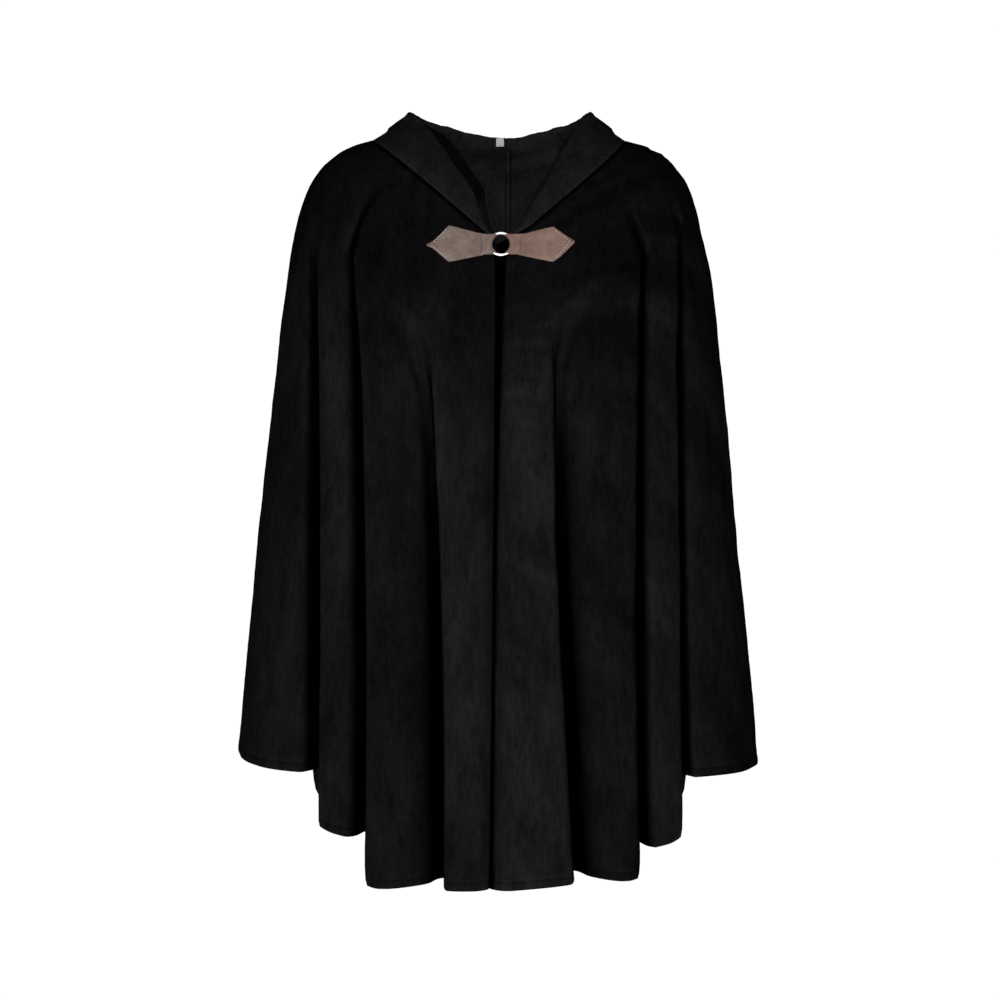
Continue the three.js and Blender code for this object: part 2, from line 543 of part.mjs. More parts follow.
// One section of the hood, from the neck seam to the edge round the face. Each of its points has the same
// part in every section: four on the way up, five round the bend, four down, four round the turn, three up.
function hoodSection(around, side) {
  const half = Math.PI / 2;
  const edgeAngle = angleAt(ringAt(0), side * 7, false);
  const sideAngle = side > 0 ? 3 * half : half;
  const backAngle = angleAt(ringAt(0), side * HOOD.at(-1).leftX, true);
  const angle =
    around < 0.5 ? mix(edgeAngle, sideAngle, around * 2) : mix(sideAngle, backAngle, around * 2 - 1);
  const foot = bodyPoint(angle, 0);
  foot.add(new THREE.Vector3(-foot.x, -foot.y, 0).setLength(HOOD_INSET));
  foot.z += HOOD_ABOVE;
  const row = rowAt(HOOD, around);
  const top =
    side > 0
      ? new THREE.Vector3(row.rightX, -row.rightY, row.rightZ)
      : new THREE.Vector3(-row.leftX, -row.leftY, row.leftZ);
  const rising = top.clone().sub(foot).normalize();
  const tall = foot.distanceTo(top);
  const radius = around < 0.5 ? HOOD_TURN * Math.min(1, 0.5 + tall / 70) : HOOD_TURN;
  const outwards = bodyNormal(angle, 0.02);
  outwards.addScaledVector(rising, -outwards.dot(rising)).normalize();
  const heart = top.clone().addScaledVector(rising, -radius);
  const from = (point, up, out) => point.clone().addScaledVector(rising, up).addScaledVector(outwards, out);

  const start = from(heart, 0, -radius);
  const rounding = HOOD_ROUNDING * Math.min(1, tall / 40) * smooth(2 - 4 * around);
  const points = HOOD_RISE.map((share) =>
    from(foot.clone().lerp(start, share), 0, rounding * Math.sin(share * Math.PI)),
  );
  for (const share of [0, 0.25, 0.5, 0.75, 1]) {
    const turn = (mix(-90, row.over, share) * Math.PI) / 180;
    points.push(from(heart, radius * Math.cos(turn), radius * Math.sin(turn)));
  }

  // The rolled edge
  const roll = rowAt(ROLL, around);
  const rolled = [];
  let place = points.at(-1);
  let heading = ((90 - row.over) * Math.PI) / 180;
  const walk = (length, steps, degrees) => {
    for (let i = 0; i < steps; i++) {
      const turn = ((degrees / steps) * Math.PI) / 180;
      heading += turn / 2;
      place = from(place, (-Math.cos(heading) * length) / steps, (Math.sin(heading) * length) / steps);
      heading += turn / 2;
      rolled.push(place);
    }
  };
  walk(roll.down, 4, 0);
  walk(roll.turn, 4, roll.bend);
  walk(roll.up, 3, 0);

  // The pouch
  const pouch = rowAt(POUCH, around);
  const off = mix(HOOD_OFF_SHOULDER, HOOD_OFF_BODY, smooth((around - 0.5) / 0.25));
  const hang = (share, out) => {
    const toward = mix(angle, Math.PI, pouch.towards * share);
    const run = pouch.fall * share;
    return bodyPoint(toward, run).addScaledVector(bodyNormal(toward, run), off + out);
  };
  const swag = HOOD_SWAG * smooth(pouch.fall / 0.2);
  const hung = [
    hang(0.12, 0),
    hang(0.36, 0),
    hang(0.68, 0),
    hang(0.95, 0),
    hang(1.03, pouch.deep * 0.18),
    hang(1.06, pouch.deep * 0.5),
    hang(1.03, pouch.deep * 0.82),
    hang(0.93, pouch.deep),
    hang(0.66, pouch.deep + swag * 0.6),
    hang(0.35, pouch.deep - swag * 0.8),
    new THREE.Vector3(side * pouch.rimX, -pouch.rimY, pouch.rimZ),
  ];
  const share = smooth((around - 0.54) / 0.11);
  rolled.forEach((point, i) => points.push(point.clone().lerp(hung[i], share)));
  // The front end is plain: its points lie evenly up a straight edge.
  points.forEach((point, i) => {
    const plain = foot.clone().addScaledVector(rising, ((tall + 3) * i) / (points.length - 1));
    point.lerp(plain, 1 - smooth(around / HOOD_PLAIN));
  });
  const shift = AROUND[rowNumber("centre_back")].x[0] * smooth(around * 2 - 1);
  for (const point of points) point.x += shift;
  return points;
}

for (const [name, side] of [["hood_left", -1], ["hood_right", 1]]) {
  let grid = HOOD_AROUND.map((around) => hoodSection(around, side));
  if (side > 0) grid = grid.reverse();
  const upward = grid.map((section) => [...section].reverse());
  add(name, wall(upward, faceNormals(upward), CLOTH), WOOL);
}

// Where the cloth of the fronts lies behind a place on the clasp.
const caster = new THREE.Raycaster();
function clothBehind(x, z) {
  caster.set(new THREE.Vector3(x, -400, z), new THREE.Vector3(0, 1, 0));
  return caster.intersectObjects(cloak.children)[0].point.y;
}

const LEATHER_FINISH = { color: 0x6e6158, roughness: 0.7, metalness: 0 };
const STEEL = { color: 0xc9c9c6, roughness: 0.25, metalness: 1 };

// The ring and its loops lie in a plane that slopes as the cloth does, just in front of it.
const slope = Math.tan(CLASP.tilt);
let claspY = Infinity;
for (let out = -18; out <= 18; out += 4) {
  for (let up = -12; up <= 12; up += 4) {
    const behind = clothBehind(CLASP.x + out, CLASP.z + up) - slope * up;
    claspY = Math.min(claspY, behind - (LOOP.outer + OFF_CLOTH) / Math.cos(CLASP.tilt));
  }
}

// A tab follows the cloth behind it, and its end meets its loop. Its outline is one table, and it is cut
// into three strips across.
function tab(name, outlineRows, side) {
  const grid = outlineRows.map((row, i) =>
    [1, 0.66, 0.33, 0].map((share) => {
      const x = CLASP.x + side * row.out;
      const up = mix(row.low, row.high, share);
      const onCloth = clothBehind(x, CLASP.z + up) - OFF_CLOTH - LEATHER / 2;
      return new THREE.Vector3(x, i === 0 ? claspY + slope * up : onCloth, CLASP.z + up);
    }),
  );
  if (side < 0) grid.reverse();
  const normals = grid.map((column) => column.map(() => new THREE.Vector3(0, -1, 0)));
  return add(name, wall(grid, normals, LEATHER), LEATHER_FINISH);
}

tab("clasp_tab_left", TAB_LEFT, -1);
tab("clasp_tab_right", TAB_RIGHT, 1);

// The ring and its loops are made upright, with the ring round the Y axis, and then sloped.
const clasp = new THREE.Group();
clasp.position.set(CLASP.x, claspY, CLASP.z);
clasp.rotation.x = -CLASP.tilt;
cloak.add(clasp);

function toGeometry(solid) {
  const mesh = solid.getMesh();
  const geometry = new THREE.BufferGeometry();
  geometry.setAttribute("position", new THREE.BufferAttribute(mesh.vertProperties, 3));
  geometry.setIndex(new THREE.BufferAttribute(mesh.triVerts, 1));
  return geometry;
}
const { Manifold, CrossSection } = manifold;
// Part of a ring of this thickness, turned so that its middle points at -X.
function ringPart(thickness, sides, degrees) {
  return Manifold.revolve(
    CrossSection.circle(thickness, sides).translate([RING.radius, 0]),
    degrees === 360 ? 28 : 10,
    degrees,
  ).rotate([90, 0, 0]).rotate([0, 180 + degrees / 2, 0]);
}
function loop(name, side) {
  const height = 2 * LOOP.halfHeight;
  const near = RING.radius - 3.2;
  const far = TAB_LEFT[0].out - SEAM_GAP;
  const tail = Manifold.cube([far - near, LEATHER, height], true).translate([-(near + far) / 2, 0, 0]);
  let solid = ringPart(LOOP.outer, 10, 150)
    .intersect(Manifold.cube([60, 60, height], true))
    .add(tail)
    .subtract(ringPart(LOOP.inner, 8, 360));
  if (side > 0) solid = solid.rotate([0, 180, 0]);
  add(name, toGeometry(solid), LEATHER_FINISH, clasp);
}
loop("clasp_loop_left", -1);
loop("clasp_loop_right", 1);
add("clasp_ring", toGeometry(ringPart(RING.wire, 8, 360)), STEEL, clasp);

const label = add("neck_label", new THREE.BoxGeometry(LABEL.width, LABEL.thick, LABEL.height), {
  color: 0x9a9a9a,
  roughness: 0.8,
  metalness: 0,
});
label.position.set(LABEL.x, LABEL.y, LABEL.z);

export default cloak;
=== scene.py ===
"""A short hooded wool cape on an unseen wearer, dressed over its CAD frame.

Lengths are worked out in millimetres and put into the meshes in metres. +Z is up and the front faces -Y.
The cloth is one surface round the body and one round each half of the hood. Both repeat the tables that
the solids are made from, on a much finer grid.
"""
import math

import bpy
import numpy as np
from mathutils.bvhtree import BVHTree
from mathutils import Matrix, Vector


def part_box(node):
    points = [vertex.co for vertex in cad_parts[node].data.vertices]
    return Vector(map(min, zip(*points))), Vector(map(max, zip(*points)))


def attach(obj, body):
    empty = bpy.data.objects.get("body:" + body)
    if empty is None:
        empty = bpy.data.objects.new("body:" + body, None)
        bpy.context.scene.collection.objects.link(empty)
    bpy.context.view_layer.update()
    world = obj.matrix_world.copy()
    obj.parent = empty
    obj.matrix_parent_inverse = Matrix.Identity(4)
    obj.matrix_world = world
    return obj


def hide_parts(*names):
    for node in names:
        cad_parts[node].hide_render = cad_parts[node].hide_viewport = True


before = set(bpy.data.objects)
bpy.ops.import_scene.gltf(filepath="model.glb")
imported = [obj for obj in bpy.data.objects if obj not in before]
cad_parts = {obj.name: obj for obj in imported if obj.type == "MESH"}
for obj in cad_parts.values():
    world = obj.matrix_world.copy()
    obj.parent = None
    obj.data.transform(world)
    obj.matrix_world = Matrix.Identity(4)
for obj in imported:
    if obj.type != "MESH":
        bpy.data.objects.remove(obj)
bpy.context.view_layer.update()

# Cloth
CLOTH = 2.0
SEAM_GAP = -0.1

# The body without its folds, as rings from the neck seam to the hem:
# run, half width and height at the side, reach and height at the front, at the back, and squareness
RINGS = np.array([
    [0.00, 134.0, 8.5, 110, -110, 70, 10, 2.00],
    [0.05, 164.0, -2, 122, -140, 94, -3, 2.00],
    [0.10, 186.0, -21, 133, -172, 119, -28, 2.05],
    [0.16, 201.5, -51, 144, -210, 136, -68, 2.10],
    [0.24, 213.0, -97, 153, -262, 149, -125, 2.15],
    [0.34, 223.0, -167, 161, -325, 159, -200, 2.20],
    [0.48, 232.5, -268, 168, -413, 168, -308, 2.25],
    [0.64, 242.0, -384, 177, -515, 178, -440, 2.30],
    [0.82, 252.0, -515, 186, -630, 189, -590, 2.35],
    [1.00, 262.5, -640, 194, -746, 199, -745, 2.40],
])
SIDE_X, SIDE_Z, FRONT_Y, FRONT_Z, BACK_Y, BACK_Z, SQUARE = range(7)
NECK_TILT = 10

# What is met going round the body from the left front edge by way of the back:
# kind, on the back, x at a fifth, three fifths and the hem, where it starts, depth, half width,
# roll before, roll after, lean, height of the hem after it and before the next one, and the painted
# light and shade up to the next one, a factor that lightens or darkens the panel's colour
EDGE, FOLD, SEAM = range(3)
AROUND = np.array([
    [EDGE, 0, -4.8, -7.2, -10.5, 0, 0, 0, 0, 0, 0, -746, -747, 1.15],
    [FOLD, 0, -81, -67, -63, 0.22, 50, 8, 6, 46, -7, -742, -748, 0.8],
    [FOLD, 0, -149, -138.5, -137, 0.04, 58, 5, 5, 9, 0, -699, -687, 1.1],
    [FOLD, 0, -190, -186, -184, 0.18, 56, 8.5, 5, 8, 0, -636, -617, 1.1],
    [SEAM, 1, -300, -300, -300, 0, 0, 0, 0, 0, 0, -617, -652, 1.0],
    [FOLD, 1, -196, -206, -214, 0.24, 46, 8, 24, 14, 0, -690, -700, 0.9],
    [FOLD, 1, -126, -130, -136, 0.20, 58, 7, 20, 13, 4, -728, -736, 1.0],
    [FOLD, 1, -46, -54, -62, 0.26, 50, 9, 22, 14, 5, -745, -747, 1.0],
    [SEAM, 1, 8, 7, 6, 0, 0, 0, 0, 0, 0, -747, -744, 0.95],
    [FOLD, 1, 58, 62, 68, 0.24, 54, 8, 13, 24, -5, -736, -728, 0.85],
    [FOLD, 1, 132, 138, 146, 0.18, 56, 7, 13, 20, -4, -700, -690, 1.0],
    [FOLD, 1, 200, 209, 217, 0.26, 44, 8, 14, 24, 0, -652, -637, 1.0],
    [SEAM, 0, 300, 300, 300, 0, 0, 0, 0, 0, 0, -637, -641, 0.95],
    [FOLD, 0, 187, 185, 188, 0.15, 54, 5, 4, 7, 0, -699, -709, 1.07],
    [FOLD, 0, 148, 142, 144.5, 0.09, 58, 4, 6, 8, 0, -741, -735, 0.8],
    [FOLD, 0, 64, 69, 84, 0.18, 50, 8, 40, 6, 7, -740, -747, 1.4],
    [EDGE, 0, 6.4, 0.8, -1.2, 0, 0, 0, 0, 0, 0, -746, -746, 0],
])
PANELS = {"front_left": (0, 4), "back_left": (4, 8), "back_right": (8, 12), "front_right": (12, 16)}
CENTRE_BACK_X, CENTRE_BACK_ROW = 8, 8
ALLOWANCE = 4
FACING_FRONT = 0.55
BULGE = 7
EDGE_CURL, EDGE_CURL_WIDTH = 9, 15
STEEP_DEPTH = 13
VALLEY_ROUND = 0.45
FACING_WIDTH = 17
# Painted light and shade, as factors on the cloth's colour: painted shade where the cloth faces up, deep in
# the folds and on the edge tucked behind the other, and painted light on the hood and on the inner side
PAINTED_SHADE_ON_SLOPES, PAINTED_SHADE_IN_FOLDS, PAINTED_SHADE_TUCKED, PAINTED_LIGHT_ON_HOOD, PAINTED_LIGHT_INSIDE = 0.5, 0.06, 0.04, 1.25, 3.0
HEM_DEPTH, HEM_CORNER = 7.5, 6

# The hood's bend: around, left x, y, z, right x, y, z, and how far the bend goes past its top
HOOD = np.array([
    [0.000, 8, 106, -96, 9.5, 106.5, -101, -40],
    [0.100, 19.5, 98.5, -65, 26, 102, -81, 40],
    [0.200, 37, 84, -39, 41, 92, -58, 90],
    [0.310, 55, 63, -10, 58, 70, -26, 90],
    [0.410, 74, 38, 18, 77, 40, 12, 90],
    [0.500, 92, 10, 37.5, 96, 10, 38, 90],
    [0.575, 85, -7, 35.5, 88, -7, 35.5, 90],
    [0.650, 75, -24, 32, 77, -24, 31.5, 90],
    [0.740, 61, -41, 30, 61, -41, 29, 75],
    [0.840, 41, -59, 26.5, 36, -59, 26, 36],
    [0.930, 16, -68, 23, 16, -68, 22.5, 10],
    [1.000, 0.95, -70, 22, 0.95, -70, 22, 10],
])
# The pouch: around, run that it falls to, how far it draws to the middle, depth, and the rim's x, y, z
POUCH = np.array([
    [0.575, 0.05, 0.12, 9, 110, -25, 22],
    [0.650, 0.12, 0.20, 15, 106, -50, 21],
    [0.740, 0.21, 0.24, 23, 98, -92, 12],
    [0.840, 0.30, 0.24, 30, 70, -126, 3],
    [0.930, 0.355, 0.20, 34, 32, -146, -4],
    [1.000, 0.375, 0.00, 35, 0.95, -152, -8],
])
# The rolled edge: around, lengths down, round and up, and degrees of the bend
ROLL = np.array([
    [0.00, 2, 2, 2, 0],
    [0.46, 2, 2, 2, 0],
    [0.50, 3, 3, 2, 5],
    [0.53, 13, 7, 3, 65],
    [0.57, 34, 12, 12, 180],
    [0.65, 60, 20, 40, 180],
])
HOOD_RISE = [0, 0.3, 0.6, 0.85]
HOOD_INSET, HOOD_ABOVE = 1.5, 0.2
HOOD_ROUNDING = 4
HOOD_TURN = 3.2
HOOD_PLAIN = 0.15
HOOD_OFF_SHOULDER, HOOD_OFF_BODY = 6, 10
HOOD_SWAG = 6

# The clasp, as the solids have it
CLASP = {"x": 2.6, "z": -110.5, "tilt": 0.3}
RING_RADIUS, RING_WIRE = 11.7, 1.4
LEATHER = 2.2
OFF_CLOTH = 0.7
LOOP_HALF = 9.6
# Outline of each tab: distance from the clasp's middle, lower and upper edge
TAB_LEFT = np.array([[18.4, -10.6, 10.2], [26, -12.2, 11.6], [36, -14.4, 14], [46, -16.6, 16.6],
                     [52.5, -17.5, 17.8], [60, -11, 9.6], [68, -4, 2], [73.5, -1.6, -0.6]])
TAB_RIGHT = np.array([[18.4, -10.2, 9.6], [26, -12.2, 10.8], [36, -14.2, 13.2], [46, -16.4, 15.6],
                      [52.5, -17.3, 16.8], [60, -11.8, 11.4], [68, -3.6, 5.6], [72.8, 1.5, 3]])
# Strength of the room's own light, and each lamp's place and width in metres and its power in watts
ROOM_LIGHT = 0.12
LAMPS = [("key", (-1.5, -2.9, -0.5), 1.1, 56), ("fill", (1.7, -2.8, -0.3), 1.1, 28),
         ("front", (0.1, -3.3, 0.1), 0.8, 60), ("behind", (-0.9, 3.1, -0.6), 1.0, 60)]
LABEL = {"x": 1.6, "y": 63.4, "z": 17.4, "width": 8.6, "height": 9.4, "thick": 0.8}


# Small helpers

def smooth(t):
    """A step from 0 to 1 that starts and ends level: 3 t squared less 2 t cubed, with t held in 0 to 1."""
    t = np.clip(t, 0, 1)
    return t * t * (3 - 2 * t)


def mix(a, b, t):
    """From a to b by the share t."""
    return a + (b - a) * t


def unit(v):
    """Each vector of an array divided by its length."""
    return v / np.maximum(np.linalg.norm(v, axis=-1, keepdims=True), 1e-9)


def curve_through(table, at):
    """The other columns of a table at places along its first column.

    Between two rows it is a cubic that has their values, and whose slope at each row is that of the
    straight line from the row before it to the row after it.
    """
    key, values = table[:, 0], table[:, 1:]
    at = np.asarray(at, float)
    i = np.minimum(np.searchsorted(key[1:], at, side="left"), len(key) - 2)
    before = np.maximum(np.arange(len(key)) - 1, 0)
    after = np.minimum(np.arange(len(key)) + 1, len(key) - 1)
    slopes = (values[after] - values[before]) / (key[after] - key[before])[:, None]
    span = (key[i + 1] - key[i])[..., None]
    t = (at - key[i])[..., None] / span
    level = mix(values[i], values[i + 1], t * t * (3 - 2 * t))
    return level + span * (t * (1 - t) ** 2 * slopes[i] - t * t * (1 - t) * slopes[i + 1])


def ripple(u, v, seed):
    """Smooth uneven values from about -1 to 1 over u and v, one lump for each step of 1.

    Each corner of a lattice has a value from a sine with a large factor, and between the corners they are
    blended by the smooth step.
    """
    iu, iv = np.floor(u), np.floor(v)
    su, sv = smooth(u - iu), smooth(v - iv)

    def corner(a, b):
        wave = np.sin(a * 127.1 + b * 311.7 + seed * 74.7) * 43758.5453
        return 2 * (wave - np.floor(wave)) - 1

    low = mix(corner(iu, iv), corner(iu + 1, iv), su)
    high = mix(corner(iu, iv + 1), corner(iu + 1, iv + 1), su)
    return mix(low, high, sv)


# The smooth body

def outline(ring, angle):
    """x and y of a ring's outline at an angle: 0 is the middle of the front, a quarter turn the left side.

    It is a superellipse: the radius is (|sin / half width| ^ s + |cos / reach| ^ s) ^ (-1 / s).
    """
    reach = np.where(np.cos(angle) > 0, ring[..., FRONT_Y], ring[..., BACK_Y])
    square = ring[..., SQUARE]
    side = np.abs(np.sin(angle) / ring[..., SIDE_X]) ** square
    deep = np.abs(np.cos(angle) / reach) ** square
    radius = (side + deep) ** (-1 / square)
    return np.stack([-radius * np.sin(angle), -radius * np.cos(angle)], -1)


def height_on(ring, x, back, run):
    """Height of the cloth on a ring: straight from the middle of the front to the side, curved at the back.

    The right front is lower by the neck's tilt, which fades out at the middle, the side and a fifth down.
    """
    share = np.clip(np.abs(x) / ring[..., SIDE_X], 0, 1)
    fade = np.minimum(1, 4 * share) * (1 - share ** 8) * (1 - np.clip(run / 0.2, 0, 1))
    front = mix(ring[..., FRONT_Z], ring[..., SIDE_Z], share) - np.where(x > 0, NECK_TILT * fade, 0)
    return np.where(back, mix(ring[..., BACK_Z], ring[..., SIDE_Z], share ** 2), front)


def angle_at(ring, x, back):
    """The angle where a ring's outline passes x, on its front or its back."""
    turns = np.linspace(0, math.pi / 2, 2001)
    found = np.interp(abs(x), np.abs(outline(ring, math.pi - turns if back else turns)[:, 0]), turns)
    turn = math.pi - found if back else found
    return 2 * math.pi - turn if x > 0 else turn


def body_point(angle, run):
    """A place on the smooth body."""
    ring = curve_through(RINGS, run)
    flat = outline(ring, angle)
    z = height_on(ring, flat[..., 0], np.cos(angle) < 0, run)
    return np.concatenate([flat, z[..., None]], -1)


def body_normal(angle, run):
    """The direction out of the smooth body: across times down, from places a little to each side."""
    step = 0.01
    across = body_point(angle + step, run) - body_point(angle - step, run)
    low = np.maximum(0, run - step)
    down = body_point(angle, low + 2 * step) - body_point(angle, low)
    return unit(np.cross(across, down))


# The folds

AFTER, BEFORE, PANEL, INSET, OUTSET = range(5)
VALLEY_STEPS = np.array([0, .004, .02, .05, .1, .16, .23, .3, .38, .46, .5, .56, .63, .7, .78, .86, .93, 1])
EDGE_STEPS = np.array([0, 1.2, 2.6, 4.5, 7, 10, 13, 15, 16.1, 17, 17.9, 19])
UNDERLAP_STEPS = np.array([-15, -13, -11, -9, -7, -5, -3.4, -1.6])
PANEL_STEPS = np.arange(1, 15) / 15


def body_columns():
    """The columns of the body's grid: number of the row of AROUND, which part of it, and the step there."""
    columns = []
    for i in range(len(AROUND) - 1):
        first, last = AROUND[i, 0], AROUND[i + 1, 0]
        if first == FOLD:
            columns += [(i, AFTER, s) for s in VALLEY_STEPS]
        elif first == EDGE:
            columns += [(i, INSET, s) for s in EDGE_STEPS]
        else:
            columns += [(i, INSET, s) for s in (SEAM_GAP / 2 + 1, 2, 3, 3.6, 4.2, 5, 6)]
        columns += [(i, PANEL, s) for s in PANEL_STEPS]
        if last == FOLD:
            columns += [(i, BEFORE, s) for s in VALLEY_STEPS[:0:-1]]
        elif last == EDGE:
            columns += [(i, OUTSET, s) for s in np.concatenate([UNDERLAP_STEPS, EDGE_STEPS])[::-1]]
        else:
            columns += [(i, OUTSET, s) for s in (6, 3, SEAM_GAP / 2 + 1)]
    return np.array(columns, float)


def place_x(run):
    """Where each row of AROUND lies on a ring, on a parabola through its three places."""
    top, middle, hem = AROUND[:, 2], AROUND[:, 3], AROUND[:, 4]
    t = (run - 0.2) / 0.4
    return top + (middle - top) * t + ((hem - 2 * middle + top) / 2) * t * (t - 1)


def valleys_at(run):
    """Depth, steepness, half width, roll before, roll after and lean of each fold on a ring.

    The depth grows as the 0.9th power of a sine from the fold's start to the hem.
    """
    start, depth, gap, before, after, lean = AROUND[:, 5:11].T
    grown = np.clip((run - start) / (1 - start), 0, 1)
    deep = depth * np.sin(grown * math.pi / 2) ** 0.9 * (AROUND[:, 0] == FOLD)
    steep = smooth(deep / STEEP_DEPTH)
    soften = mix(1.5, 1, steep)
    return np.stack([deep, steep, gap * soften, before * soften, after * soften, lean * steep], -1)


def valley_side(valley, roll, step):
    """How far across and how far in a valley's side is, from its bottom (0) to its lip (1).

    A deep one is two quarter ellipses that meet on an upright wall. A shallow one is a cosine.
    """
    depth, steep, gap = valley[:, 0], valley[:, 1], valley[:, 2]
    step = np.clip(step, 0, 1)
    lower = step <= 0.5
    turn = np.where(lower, step, step - 0.5) * math.pi
    across_deep = np.where(lower, gap * np.sin(turn) ** VALLEY_ROUND, gap + roll * (1 - np.cos(turn)))
    in_deep = depth / 2 * np.where(lower, 1 + np.cos(turn), 1 - np.sin(turn))
    in_soft = depth / 2 * (1 + np.cos(step * math.pi))
    return mix((gap + roll) * step, across_deep, steep), mix(in_soft, in_deep, steep)


def body_ring(run, columns):
    """One ring of the body with its folds, and for each point its place round it and how far in it lies."""
    ring = curve_through(RINGS, run)
    turns = np.linspace(0, 2 * math.pi, 1441)
    flat = outline(ring, turns)
    lengths = np.concatenate([[0], np.cumsum(np.linalg.norm(np.diff(flat, axis=0), axis=1))])
    angles = []
    for row, now, high in zip(AROUND, place_x(run), place_x(max(run, 0.2))):
        fold = row[0] == FOLD
        on = curve_through(RINGS, max(run, 0.2)) if fold else ring
        turn = angle_at(on, high if fold else now, row[1] > 0)
        angles.append(turn + 2 * math.pi if row[0] == EDGE and row[2] > 0 and turn < math.pi else turn)
    angles = np.array(angles)
    starts = np.interp(angles, turns, lengths) + np.maximum(angles - 2 * math.pi, 0) * ring[FRONT_Y]
    valley = valleys_at(run)
    growth = float(smooth(run))

    def outward(angle):
        along = outline(ring, angle + 0.01) - outline(ring, angle - 0.01)
        return unit(np.stack([-along[..., 1], along[..., 0]], -1))

    straight = np.stack([np.zeros(len(AROUND)), np.where(AROUND[:, 1] > 0, -1.0, 1.0)], -1)
    inward = unit(mix(-outward(angles), straight, FACING_FRONT))

    i = columns[:, 0].astype(int)
    part, step = columns[:, 1], columns[:, 2]
    widths_after = np.where(AROUND[:, 0] == EDGE, EDGE_STEPS[-1], valley[:, 2] + valley[:, 4])
    widths_before = np.where(AROUND[:, 0] == EDGE, EDGE_STEPS[-1], valley[:, 2] + valley[:, 3])
    plain = AROUND[:, 0] == SEAM
    first = np.where(plain, 6.0, widths_after)[i]
    last = np.where(plain, 6.0, widths_before)[i + 1]
    room = starts[i + 1] - starts[i]
    fit = np.minimum(1, room * 0.86 / (first + last))
    across_a, in_a = valley_side(valley[i], valley[i, 4], step)
    across_b, in_b = valley_side(valley[i + 1], valley[i + 1, 3], step)
    slip_a = valley[i, 5] * in_a / np.maximum(1, valley[i, 0])
    slip_b = valley[i + 1, 5] * in_b / np.maximum(1, valley[i + 1, 0])
    panel_at = mix(starts[i] + first * fit, starts[i + 1] - last * fit, step)
    at = np.select([part == AFTER, part == BEFORE, part == PANEL, part == INSET],
                   [starts[i] + across_a * fit, starts[i + 1] - across_b * fit, panel_at,
                    starts[i] + step * fit], starts[i + 1] - step * fit)
    drop = np.select([part == AFTER, part == BEFORE], [in_a, in_b], 0.0)
    slip = np.select([part == AFTER, part == BEFORE], [slip_a, slip_b], 0.0)
    towards = np.where((part == AFTER)[:, None], inward[i], inward[i + 1])

    hem_a, hem_b = AROUND[:, 11], AROUND[:, 12]
    in_valley = np.maximum(np.roll(hem_b, 1), hem_a)
    side_seam = (AROUND[:, 0] == SEAM) & (np.abs(AROUND[:, 2]) > 200)
    to_side, off_side = side_seam[i + 1], side_seam[i]
    from_a, from_b = at - starts[i], starts[i + 1] - at
    share = np.clip(from_a / room, 0, 1)
    share = np.where(to_side, share ** 3, np.where(off_side, 1 - (1 - share) ** 3, share))
    gap, rolled = valley[:, 2] * 0.98, np.maximum(valley[:, 3:5].T, 1)
    near_a = 1 - smooth((from_a / fit - gap[i]) / rolled[1, i])
    near_b = 1 - smooth((from_b / fit - gap[i + 1]) / rolled[0, i + 1])
    hem = (mix(hem_a[i], hem_b[i], share) + (in_valley[i] - hem_a[i]) * near_a * (AROUND[i, 0] == FOLD)
           + (in_valley[i + 1] - hem_b[i]) * near_b * (AROUND[i + 1, 0] == FOLD))
    round_a = HEM_CORNER * smooth((in_valley[i] - hem_a[i]) / 20) * np.exp(-(from_a / 14) ** 2)
    round_b = HEM_CORNER * smooth((in_valley[i + 1] - hem_b[i]) / 20) * np.exp(-(from_b / 14) ** 2)
    hem = hem + round_a + round_b

    angle = np.interp(at + slip, lengths, turns)
    past = np.maximum(at + slip - lengths[-1], 0) / ring[FRONT_Y]
    angle = angle + past
    base = outline(ring, angle)
    stops = [k for k in range(len(AROUND)) if AROUND[k, 0] != SEAM]
    ends = np.array([starts[k] - 24 * (k == stops[0]) + 24 * (k == stops[-1]) for k in stops])
    beside = np.clip(np.searchsorted(np.array(stops), i, side="right") - 1, 0, len(stops) - 2)
    left, right = ends[beside], ends[beside + 1]
    across = np.clip((at - left) / (right - left), 0, 1) * 2 - 1
    place = base + outward(angle) * (BULGE * growth * (1 - across ** 2))[:, None]
    place = place + towards * drop[:, None]
    from_edge = np.minimum(np.where(AROUND[i, 0] == EDGE, at - starts[i], 1e3),
                           np.where(AROUND[i + 1, 0] == EDGE, starts[i + 1] - at, 1e3))
    near = np.maximum(1 - from_edge / EDGE_CURL_WIDTH, 0)
    place[:, 1] += EDGE_CURL * near ** 2 * smooth(run / 0.2)
    back = np.cos(angle) < 0
    z = height_on(ring, base[:, 0], back, run)
    z = z + (hem - height_on(RINGS[-1, 1:], base[:, 0], back, 1.0)) * run ** 2.2
    # Painted light and shade: each panel's factor on the colour, blended with its neighbour's across a fold's sides,
    # with no effect at the neck seam and full from a fifth of the way down.
    tone_and_painted_light = AROUND[:, 13]
    share = np.where(part < PANEL, step, 1)
    beside = np.where(part == AFTER, tone_and_painted_light[i - 1], tone_and_painted_light[i + 1])
    painted_shading = mix(1, mix((tone_and_painted_light[i] + beside) / 2, tone_and_painted_light[i], share), smooth(run / 0.2))
    # Painted shade: the colour goes nearly black on the underlap past the front edge, tucked behind the other side.
    painted_shading = painted_shading * mix(PAINTED_SHADE_TUCKED, 1, smooth(1 + from_edge / 3))
    from_seam = np.where(i == CENTRE_BACK_ROW, at - starts[CENTRE_BACK_ROW], 1e3)
    # Painted shade: the colour darkens the deeper the cloth lies in a fold, more slowly where the fold's side rolls
    # wide.
    roll = np.where(part == AFTER, AROUND[i, 9], AROUND[i + 1, 8])
    painted_shading = painted_shading * mix(1, PAINTED_SHADE_IN_FOLDS, smooth(drop / (11 + 0.42 * roll)))
    return np.column_stack([place, z]), at, drop, from_edge, painted_shading, from_seam


def grid_normals(grid):
    """Normals of a grid[column, row] of points: the step across times the step down."""
    return unit(np.cross(np.gradient(grid, axis=0), np.gradient(grid, axis=1)))


# Meshes

